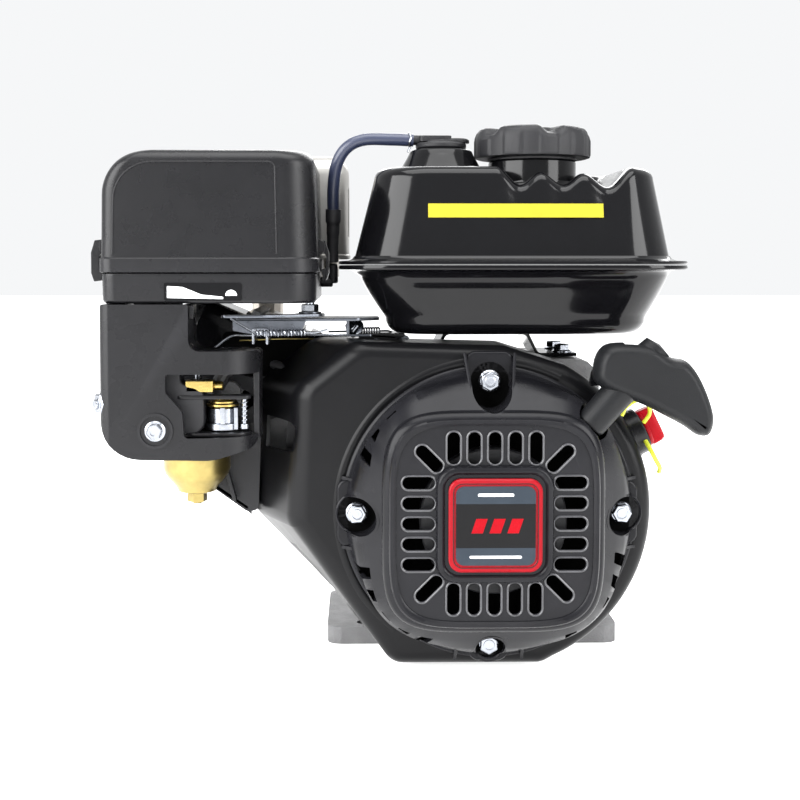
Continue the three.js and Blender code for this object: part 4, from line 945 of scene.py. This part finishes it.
def starter_housing():
    levels = [(-112.2, 95, 0), (-114.4, 95, 0), (-115.2, 94.2, 0), (-115.5, 92.8, 0.02),
        (-118, 91.4, 0.05), (-124, 89, 0.1),
              (-130, 84.4, 0.35), (-137, 77, 0.7), (-144, 69.6, 0.95)]
    for a in range(15, 91, 15):
        levels.append((-144 - 7.1 * math.sin(math.radians(a)),
            69.6 - 6 * (1 - math.cos(math.radians(a))), 1))
    outer = Shape().loft([starter_ring(*level) for level in levels])
    body = outer.make("recoil_cover", STARTER_BLACK, None)
    add = Shape()
    # raised rim round the slotted face
    rim = []
    for y, half in ((-149, 65.4), (-151.9, 65.2), (-153.1, 64.3), (-153.1, 62.4), (-152, 61), (-149, 60.6)):
        rim.append(starter_ring(y, half, 1))
    add.loop(rim)
    # badge seat
    seat = []
    for y, half, r in ((-149, 36.4, 12), (-154, 36, 12), (-155.6, 35.3, 12), (-156.3, 34, 11),
        (-156.2, 32.6, 10), (-155.2, 31.4, 9), (-154.2, 31, 9)):
        seat.append(raised([Vector((p.x, p.y + CRANK_Z)) for p in box_outline(-half, half, -half, half,
            r, 9)], "y", y))
    add.loft(seat)
    rim_made = add.make("rim", STARTER_BLACK, None)
    carve(body, [rim_made], "UNION")
    cutters = Shape()
    inner = [(-108, 92.6, 0), (-115, 91, 0.02), (-124, 86.4, 0.1), (-130, 81.8, 0.35), (-137, 74.4, 0.7),
        (-143.4, 67, 0.95), (-148.4, 62, 1)]
    cutters.loft([starter_ring(*level) for level in inner])
    hollow = cutters.make("hollow", None)
    openings = Shape()
    for outline in slots():
        openings.prism(outline, "y", -160, -140)
    # slanted vents in the rim wall
    for a in VENT_ANGLES:
        outline = [Vector((x, w)) for x, w in ((74, -3.2), (91.5, -3.9), (91.5, 3.9), (74, 3.2))]
        ends = []
        for y, twist in ((-136.5, 1.8), (-117, -1.8)):
            ends.append([around(a, q.x, y, q.y + twist) for q in outline])
        openings.loft(ends)
    cut_slots = openings.make("openings", None)
    pockets = Shape()
    for angle in (0, 180, 270):
        c = around(angle, BOLT_RING)
        pockets.turned([(0.1, 0), (pocket_radius(angle), 0), (pocket_radius(angle), 40), (0.1, 40)],
            (c.x, -112.6, c.z), FRONT, 48)
    pockets.prism([Vector((p.x, p.y)) for p in top_pocket(12.6)], "y", -150, -112.6)
    cut_pockets = pockets.make("pockets", None)
    stem = Shape()
    a = math.radians(49.27)
    stem.turned([(0.1, -16), (11.9, -16), (11.9, 40), (0.1, 40)], PULL_START,
        (math.cos(a), 0, math.sin(a)), 40)
    carve(body, [hollow, cut_slots, cut_pockets, stem.make("stem", None)])
    soften(body, 0.45, 2, 35)
    polish(body, 36)
    settle(body, "engine", ["starter_housing"])
    # Raised lips round the slots, in the lighter grey: a painted highlight along them.
    lips = Shape()
    for outline in slots():
        outside = inset(outline, -1.05)
        rings = [raised(inset(outline, 0.2), "y", -150), raised(inset(outline, 0.1), "y", -151.6),
            raised(inset(outline, -0.4), "y", -151.95),
                 raised(outside, "y", -151.6), raised(outside, "y", -150)]
        lips.loop(rings)
    lips.make("slot_lips", EDGE_GREY, "engine", angle=50)
    cups = Shape()
    for angle in BOLT_ANGLES:
        if angle == 90:
            inner, outer = top_pocket(12.6), top_pocket(14.4)
        else:
            c = around(angle, BOLT_RING)
            inner = circle(c.x, c.z, pocket_radius(angle), 56)
            outer = circle(c.x, c.z, pocket_radius(angle) + 1.5, 56)
        sections = []
        for p, q in zip(inner, outer):
            top = wall_height(math.hypot(p.x, p.y - CRANK_Z))
            sections.append([Vector((p.x, -112.8, p.y)), Vector((p.x, top, p.y)),
                Vector((p.x * 0.5 + q.x * 0.5, top - 0.5, p.y * 0.5 + q.y * 0.5)),
                             Vector((q.x, wall_height(math.hypot(q.x, q.y - CRANK_Z)), q.y)),
                             Vector((q.x, -112.8, q.y))])
        if angle == 90:
            cups.loft(sections)
        else:
            cups.loop(sections)
        c = around(angle, BOLT_RING)
        cups.turned([(0.1, 0), (13, 0), (13, 2.6), (0.1, 2.6)], (c.x, -112.7, c.z), FRONT, 48)
    cups.make("pocket_collars", STARTER_BLACK, "engine", angle=40)
    ears = Shape()
    for angle, reach, half in ((0, 96, 21), (180, 98, 22), (270, 97, 13), (90, 104, 16)):
        levels = []
        for y, less in ((-112.4, 0), (-115, 0), (-116, 0.5), (-116.6, 1.6)):
            outline = box_outline(80, reach - less, -half + less, half - less, 7, 6)
            levels.append(raised(turned_outline(outline, angle), "y", y))
        ears.loft(levels)
    plate = ears.make("recoil_ears", STARTER_BLACK, None)
    holes = Shape()
    for angle in BOLT_ANGLES:
        c = around(angle, BOLT_RING)
        holes.turned([(0.1, 0), (pocket_radius(angle), 0), (pocket_radius(angle), 12), (0.1, 12)],
            (c.x, -115.3, c.z), FRONT, 40)
    carve(plate, [holes.make("ear_holes", None)])
    polish(plate, 36)
    settle(plate, "engine")
    gussets = Shape()
    for angle in (0, 180, 270):
        for side in (-1, 1):
            near = 19.8 if angle == 270 else 20.6
            tip = 97 if angle == 270 else 95
            ends = []
            for thick in (0, 2.2):
                wide = side * (near + thick)
                ends.append([around(angle, 72, -115.2, wide), around(angle, tip, -115.2, wide * 1.04),
                    around(angle, tip - 4, -117.5, wide * 1.03),
                             around(angle, 80, -131, wide), around(angle, 72, -138, wide)])
            gussets.loft(ends)
    gussets.make("recoil_gussets", STARTER_BLACK, "engine", bevel=0.4)


WALL = [(60, -151), (69.6, -144), (77, -137), (84.4, -130), (89, -124), (91.4, -118), (93, -116.6),
    (120, -116.6)]


def wall_height(radius):
    """How far forward the sloping wall stands at a distance from the crank axis."""
    for (ra, ya), (rb, yb) in zip(WALL, WALL[1:]):
        if ra <= radius <= rb:
            return ya + (yb - ya) * (radius - ra) / (rb - ra) - 0.4
    return -151


def pocket_radius(angle):
    return 9.5 if angle == 270 else 12.3


def top_pocket(r):
    """The U-shaped recess of the upper bolt, open towards the tank."""
    low = CRANK_Z + BOLT_RING - 3
    arc = [Vector((r * math.cos(math.radians(t)),
        low + 1.12 * r * math.sin(math.radians(t)))) for t in range(180, 361, 10)]
    return [Vector((-r - 2.6, low + 21))] + arc + [Vector((r + 2.6, low + 21))]


starter_housing()

starter_bolts = Shape()
for angle in BOLT_ANGLES:
    seat = around(angle, BOLT_RING, -115.6)
    bolt(starter_bolts, seat, FRONT, 14.5, 11, 6.4, 1.8, 17 * angle)
starter_bolts.make("starter_bolts", ZINC, "engine", bevel=0.25)


def badge():
    half = 28.8
    plate = Shape()
    levels = ((-154.3, half, 8), (-157, half, 8), (-157.8, half - 0.8, 7.4), (-157.8, half - 2.8, 6),
        (-157.2, half - 3.4, 5.6))
    plate.loft([raised([Vector((p.x, p.y + CRANK_Z)) for p in box_outline(-h, h, -h, h, r, 8)], "y",
        y) for y, h, r in levels])
    plate.make("badge_shell", RED, "engine", ["badge_plate"], angle=30)
    rows = ((SLATE, 13.6, 24.4), (HOUSING_BLACK, -13.6, 13.6), (SLATE, -24.4, -13.6))
    for i, (look, low, high) in enumerate(rows):
        piece = Shape()
        top = 5 if i == 0 else 0
        foot = 5 if i == 2 else 0
        piece.prism(rounded([(-24.4, CRANK_Z + low, foot), (24.4, CRANK_Z + low, foot),
            (24.4, CRANK_Z + high, top), (-24.4, CRANK_Z + high, top)], 0, 5),
                    "y", -157.8, -157)
        piece.make("badge_field_%d" % i, look, "engine")
    thin = Shape()
    outer = [Vector((p.x, p.y + CRANK_Z)) for p in box_outline(-26.2, 26.2, -26.2, 26.2, 6, 8)]
    thin.loop([raised(outer, "y", -157.4), raised(outer, "y", -157.95),
        raised(inset(outer, 0.5), "y", -157.95), raised(inset(outer, 0.5), "y", -157.4)])
    thin.make("badge_line", GLOSS_BLACK, "engine")
    marks = Shape()
    for k in range(3):
        x = -15 + 11 * k
        marks.prism([Vector((x, CRANK_Z - 4.5)), Vector((x + 7, CRANK_Z - 4.5)),
            Vector((x + 10, CRANK_Z + 4.5)), Vector((x + 3, CRANK_Z + 4.5))],
                    "y", -158, -157.6)
    marks.make("badge_marks", RED_PLASTIC, "engine", bevel=0.12)
    dash = Shape()
    dash.prism(box_outline(-11, 11, CRANK_Z + 18.2, CRANK_Z + 20, 0.8, 3), "y", -158, -157.6)
    dash.prism(box_outline(-16, 16, CRANK_Z - 20, CRANK_Z - 18.4, 0.8, 3), "y", -158, -157.6)
    dash.make("badge_dashes", WHITE, "engine")


badge()


def grip():
    corners = [(66, 190), (63, 203), (68, 214), (79, 217), (99, 215), (110, 208), (121, 205),
        (130.5, 192), (137.6, 172),
               (135.5, 160), (128.5, 158.8), (119, 165), (106, 172), (94, 178)]
    outline = [Vector((p.x, p.y)) for p in closed_spline(corners)]
    head = Shape()
    rings = []
    for a in range(-90, 91, 15):
        t = math.radians(a)
        rings.append(raised(inset(outline, -6.5 * (1 - math.cos(t))), "y", -136 + 12.8 * math.sin(t)))
    head.loft(rings)
    made = head.make("pull_grip", GRIP_BLACK, None, angle=40)
    stem = Shape()
    stem.turned([(0.1, 0.6), (8.8, 0.6), (9.8, 2.4), (9.9, 14), (10.4, 30), (10.8, 56), (9, 66),
        (0.1, 68)], PULL_START, PULL_WAY, 40)
    stem.make("grip_stem", GRIP_BLACK, "grip", angle=40)
    notch = Shape()
    notch.prism([Vector(p) for p in ((82, 211), (95, 210), (97, 226), (80, 226))], "y", -142, -118)
    carve(made, [notch.make("notch", None)])
    polish(made, 40)
    settle(made, "grip", ["starter_grip"])


def closed_spline(points, fine=6):
    """A smooth closed outline through 2-D points."""
    p = [Vector((x, y)) for x, y in points]
    n = len(p)
    path = []
    for i in range(n):
        q = [p[(i + j - 1) % n] for j in range(4)]
        for k in range(fine):
            t = k / fine
            path.append(0.5 * (2 * q[1] + (q[2] - q[0]) * t
                               + (2 * q[0] - 5 * q[1] + 4 * q[2] - q[3]) * t * t
                               + (3 * q[1] - q[0] - 3 * q[2] + q[3]) * t ** 3))
    return path


grip()
# The cord runs out of the housing to the grip, as a straight tube along the pull.
cord = Shape()
cord.tube([PULL_START + PULL_WAY * d for d in range(-14, 9, 2)], 2.1, 14, smooth=False)
cord_piece = cord.make("pull_cord", ROPE)
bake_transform(cord_piece)
# Near-black ring that the slanted vents look onto: painted shade inside the vents
vent_shade_ring = Shape()
vent_shade_ring.turned([(76, -116), (91, -116), (91, -115), (76, -115)], (0, 0, CRANK_Z), BACK, 96)
vent_shade_ring.make("starter_vent_shade_ring", SHADOW, "engine")

# The reel, seen through the slots
wheel = Shape()
wheel.turned([(0.1, -147), (30, -147), (31, -146), (31, -144.6), (34, -144), (45, -144), (46, -143),
    (46, -132), (44, -131), (0.1, -131)],
             (0, 0, CRANK_Z), BACK, 72)
wheel.make("rope_reel", MATT_BLACK, "reel", ["starter_reel"], angle=35)


# ---------------------------------------------------------------- stop switch and its lead
def switch():
    a = math.radians(25.7)
    out = Vector((math.cos(a), 0, math.sin(a)))
    up = Vector((-math.sin(a), 0, math.cos(a)))
    at = Vector((0, -88, CRANK_Z))
    base_ring = Shape()
    base_ring.turned([(0.1, 106.4), (16, 106.4), (16, 108), (15.4, 109.5), (15.4, 114.4), (14.6, 115.8),
        (0.1, 115.8)], at, out, 48)
    base_ring.make("switch_body", SATIN_BLACK, "engine", ["switch_base"])
    knob = Shape()
    knob.turned([(0.1, 116.4), (12.4, 116.4), (12.4, 118), (11.6, 119), (0.1, 119)], at, out, 48)
    rocker_bar = []
    for d, half, wide in ((118.4, 5.6, 12.2), (124, 5.2, 12), (126.6, 4.4, 11.2), (127.4, 3.2, 10)):
        centre = at + out * d
        corners = [(-wide, -half), (wide, -half), (wide, half), (-wide, half)]
        rocker_bar.append([centre + up * p.x + Vector(BACK) * p.y for p in rounded(corners, 2, 4)])
    knob.loft(rocker_bar)
    knob.make("switch_rocker", RED_PLASTIC, "stop_switch", ["switch_knob"], bevel=0.4)


switch()
lead = Shape()
lead.tube([(86, -112, 168), (89, -113, 174), (97, -112, 178), (104, -108, 174), (106, -103, 168),
    (103, -100, 162)], 1.3, 10)
lead.tube([(104, -102, 150), (106, -108, 145), (109, -109, 139), (113, -104, 133), (114, -98, 129)], 1.5,
    10)
lead.make("stop_lead", YELLOW_WIRE, "engine")
bracket = Shape()
bracket.prism(rounded([(64, 187, 2), (86, 190, 2), (84, 201, 4), (66, 199, 4)], 0, 4), "y", -114.2, -112.3)
bracket.make("cover_tab", GLOSS_BLACK, "engine", bevel=0.5)
tab_bolt = Shape()
bolt(tab_bolt, (73.5, -114.3, 194), FRONT, 12, 8.5, 5, 1.4, 20)
tab_bolt.make("cover_tab_bolt", ZINC, "engine")


# ---------------------------------------------------------------- exhaust guard
def guard():
    def plan(z, grow):
        return [Vector((p.x, p.y, z)) for p in box_outline(-220 - grow, -91 + grow, 8 - grow, 82 + grow,
            14 + grow, 8)]
    levels = [(269, 0), (269.6, 0.8), (272, 0.8), (272.6, 0), (300, 0)]
    for a in range(0, 91, 10):
        levels.append((331 + 14 * math.sin(math.radians(a)), -14 * (1 - math.cos(math.radians(a)))))
    body = Shape().loft([plan(z, g) for z, g in levels]).make("exhaust_guard", SILVER, None)
    hollow = Shape().loft([plan(z, g) for z, g in ((266, -1.4), (326, -1.4), (336, -4),
        (342.8, -12))]).make("guard_hollow", None)
    vents = Shape()
    for k in range(9):
        x = -204 + 12 * k
        vents.prism(box_outline(x, x + 5, 285, 323, 2.4, 5), "y", 60, 100)
    for k in range(7):
        x = -196 + 13 * k
        vents.prism(box_outline(x, x + 6, 24, 66, 2.9, 5), "z", 330, 360)
    for k in range(4):
        y = 18 + 14 * k
        vents.prism(box_outline(y, y + 6, 284, 322, 2.9, 5), "x", -105, -80)
    vents.prism(box_outline(30, 60, 305, 331, 12, 8), "x", -240, -205)
    carve(body, [hollow, vents.make("vents", None)])
    polish(body, 35)
    settle(body, "engine", ["muffler_guard"])


guard()


# ---------------------------------------------------------------- controls
def controls():
    plate = Shape()
    plate.prism(rounded([(-166, -93, 3), (-118, -94, 3), (-84, -90, 6), (-70, -78, 4), (-70, -58, 3),
        (-112, -57, 3), (-128, -66, 6), (-166, -70, 3)], 0, 5), "z", 228.2, 230.2)
    plate.prism(rounded([(-166, 222, 1), (-150, 219, 2), (-122, 219, 3), (-118, 229), (-166, 229)], 0,
        4), "y", -95.6, -93.8)
    plate.block(-92, -90, -74, -60, 217, 229)
    plate.prism(rounded([(-92, -74, 2), (-74, -74, 3), (-74, -60, 3), (-92, -60, 2)], 0, 4), "z", 216.8,
        218.6)
    plate.make("control_bracket", DARK_ZINC, "engine", ["control_plate"], bevel=0.5, segments=2)
    cradle = Shape()
    channel = [(-153.2, 213.4), (-151.6, 213.4), (-151.6, 222.4, 0.6), (-144.2, 222.4, 0.6),
        (-144.2, 213.4),
               (-142.6, 213.4), (-142.6, 224, 1.6), (-153.2, 224, 1.6)]
    cradle.prism(rounded(channel, 0, 3), "y", -99, -70)
    cradle.make("control_cradle", ZINC, "engine", bevel=0.4)
    lever = Shape()
    lever.prism(rounded([(-108, -95, 6), (-105, -74, 8), (-124, -73, 8), (-127, -88, 6), (-150, -103, 8),
        (-172, -105, 3), (-172, -112, 3), (-146, -111, 10)], 0, 6), "z", 231.2, 233)
    lever.turned([(7.5, 0), (7.5, 1.2), (0.1, 1.2)], (-116, -84, 233), UP, 32)
    lever.make("speed_lever", DARK_ZINC, "throttle_lever", ["throttle_lever"], bevel=0.4)
    nut = Shape()
    nut.hexagon(10, 0, 5, (-116, -84, 234.2), UP)
    nut.turned([(3, 0), (3, 6.2), (2.4, 7), (0.1, 7)], (-116, -84, 234.2), UP, 20)
    nut.make("speed_lever_nut", ZINC, "throttle_lever")
    spring = Shape()
    spring.tube([(-166, -110.5, 231), (-158, -110.5, 226), (-150, -109, 221)], 0.7, 8, smooth=True)
    spring.tube(coil((-150, -109, 221), (-118, -98, 221), 2.1, 15), 0.5, 7, smooth=False)
    spring.tube([(-118, -98, 221), (-112, -96.5, 221), (-104, -96, 223)], 0.6, 8)
    spring.make("idle_screw_spring", ZINC, "engine")
    gold = Shape()
    gold.tube(coil((-88, -63, 220), (-69, -58.5, 220), 2.5, 11), 0.55, 7, smooth=False)
    gold.tube([(-104, -68, 220), (-97, -65, 220), (-88, -63, 220)], 0.6, 8)
    gold.tube([(-69, -58.5, 220), (-64, -57, 220), (-61, -56, 219)], 0.6, 8)
    gold.make("governor_spring", ZINC, "engine")


controls()
arm = Shape()
arm.turned([(0.1, 0), (5.4, 0), (5.4, 4), (0.1, 4)], (-52, -50.4, 184), FRONT, 28)
arm.prism(rounded([(-57.4, 182, 4), (-57, 205, 3), (-68.5, 211, 3), (-66.5, 217, 2), (-49, 216.6, 3),
    (-46.6, 182, 4)], 0, 5), "y", -53, -51.2)
arm.make("governor_lever", ZINC, "governor_arm", ["governor_arm"], bevel=0.4)
rod = Shape()
rod.tube([(-63, -49.6, 213), (-70, -49.8, 216), (-100, -50.1, 216.5), (-130, -50.4, 217),
    (-160, -53, 217), (-172, -55, 216), (-187, -58, 204),
          (-191, -58, 199.6)], 1.05, 10)
rod.make("governor_rod", ZINC, "throttle_rod", ["throttle_rod"])
companion = Shape()
companion.tube([(-64, -48, 211), (-72, -46.6, 213), (-130, -46.8, 214), (-166, -50, 213)], 0.55, 8)
companion.make("anti_rattle_wire", GOLD, "throttle_rod")


# ---------------------------------------------------------------- tank bracket
def tank_bracket():
    hat = Shape()
    hat.prism(rounded([(-58, 200.6), (-30, 200.6, 3), (-22, 216, 4), (34, 216, 4), (42, 200.6, 3),
        (70, 200.6), (70, 203), (43, 203, 3),
                       (35.4, 218.4, 4), (-23.4, 218.4, 4), (-31, 203, 3), (-58, 203)], 0, 5), "y", -34, 22)
    hat.make("tank_saddle", GLOSS_BLACK, "engine", ["tank_bracket"], bevel=0.5)
    foot = Shape()
    foot.prism(rounded([(-84, 200, 3), (-60, 203, 4), (-56, 217, 4), (-84, 219, 3)], 0, 4), "y", -72, -69.6)
    foot.prism(rounded([(-84, 217.2), (-56, 215.2), (-50, 219, 1), (-84, 219.2)], 0, 3), "y", -72, -40)
    foot.make("tank_stay", GLOSS_BLACK, "engine", bevel=0.5)
    heads = Shape()
    bolt(heads, (-72, -72.1, 209), FRONT, 13, 9.5, 5.5, 1.5, 10)
    bolt(heads, (-86, -66, 222), (-0.5, -0.75, 0.45), 13, 9.5, 5.5, 1.5, 25)
    for x in (-49, 61):
        for y in (-24, 12):
            bolt(heads, (x, y, 203.1), UP, 14, 10, 5.5, 1.6, 13 * x)
    heads.make("stay_bolts", ZINC, "engine")


tank_bracket()


# ---------------------------------------------------------------- output end, base and small fasteners
def fasteners():
    heads = Shape()
    for x, z in ((-62, 24), (73, 24), (-62, 188), (73, 188), (-64.5, 92), (75, 112), (6, 190)):
        bolt(heads, (x, 64.1, z), BACK, 14, 10, 6, 1.6, 11 * x)
    for x in (-48, 60):
        bolt(heads, (x, -50.1, 26), FRONT, 16, 12, 5, 1.6, x)
    heads.make("cover_bolts", ZINC, "engine")
    seal = Shape()
    seal.turned([(10.2, 0), (19, 0), (19, 1.8), (17.6, 2.4), (12.5, 1.2), (10.2, 1.8)],
        (0, 100.6, CRANK_Z), BACK, 56)
    seal.make("shaft_oil_seal", RUBBER, "engine", angle=40)
    lead_wire = Shape()
    lead_wire.tube([(-112, -76, 172), (-128, -70, 190), (-146, -40, 196), (-176, -6, 190),
        (-196, 30, 172), (-192, 58, 156), (-184, 70, 150)], 3.4, 14)
    lead_wire.make("ignition_lead", RUBBER, "engine", angle=60)
    ribs = Shape()
    for angle in range(0, 360, 30):
        spread = 84 if angle % 90 else (70 if angle in (0, 180) else 86)
        ends = []
        for reach, y in ((58, 84), (spread, 65.4)):
            ends.append([around(angle, reach, 63.8, -2.2), around(angle, reach, 63.8, 2.2),
                around(angle, reach, y, 1.5), around(angle, reach, y, -1.5)])
        ribs.loft(ends)
    for y in (-30, -6, 18):
        ribs.prism(rounded([(y - 1.8, 20), (y + 1.8, 20), (y + 1.8, 186), (y - 1.8, 186)], 1.5, 4), "x",
            82.6, 85.4)
    ribs.make("case_ribs", CAST, "engine", bevel=0.9)
    seam = Shape()
    outline = rounded([(-72.4, 12.3, 18), (83.4, 12.3, 18), (83.4, 200.3, 18), (-72.4, 200.3, 18)], 0, 8)
    seam.loop([raised(outline, "y", 49.9), raised(outline, "y", 50.5),
        raised(inset(outline, 4), "y", 50.5), raised(inset(outline, 4), "y", 49.9)])
    seam.make("case_gasket", MATT_BLACK, "engine")
    key = Shape()
    key.block(-2.35, 2.35, 116, 158, CRANK_Z + 6.2, CRANK_Z + 11.6)
    key.make("shaft_key", STEEL, "crank", bevel=0.5)
    nut = Shape()
    nut.hexagon(19, -130, -122.2, (0, 0, CRANK_Z), BACK)
    nut.make("flywheel_nut", ZINC, "crank")


fasteners()

# ---------------------------------------------------------------- CAD pieces that show as they are
FINISH = {
    "cast_aluminium": (CAST, 1.0), "machined_steel": (STEEL, 0.3), "gloss_black": (GLOSS_BLACK, 0.8),
    "black_plastic": (MATT_BLACK, 0.5),
    "starter_black": (STARTER_BLACK, 0.5), "black_rubber": (RUBBER, 0.8), "hose_rubber": (HOSE, 0.2),
    "zinc_steel": (ZINC, 0.3),
    "gold_zinc": (GOLD, 0.4), "guard_silver": (SILVER, 0.4), "muffler_steel": (HOT_STEEL, 0.6),
    "red_plastic": (RED_PLASTIC, 0.4),
    "ceramic": (CERAMIC, 0.3), "foam": (FOAM, 0.5), "rope": (ROPE, 0.3),
}
for part in frame["record"]["subparts"]:
    piece = frame["nodes"][part["node"]]
    look, width = FINISH[part["material_slot"]]
    piece.data.materials.clear()
    piece.data.materials.append(look)
    polish(piece, 32)
    edge = piece.modifiers.new("edge", "BEVEL")
    edge.width = width * MM
    edge.segments = 2
    edge.limit_method = "ANGLE"
    edge.angle_limit = math.radians(38)
    edge.harden_normals = True

FLOOR_HALF = 9000
floor = Shape()
floor.block(-FLOOR_HALF, FLOOR_HALF, -FLOOR_HALF, FLOOR_HALF, -3, -0.1)
floor.make("floor", FLOOR)
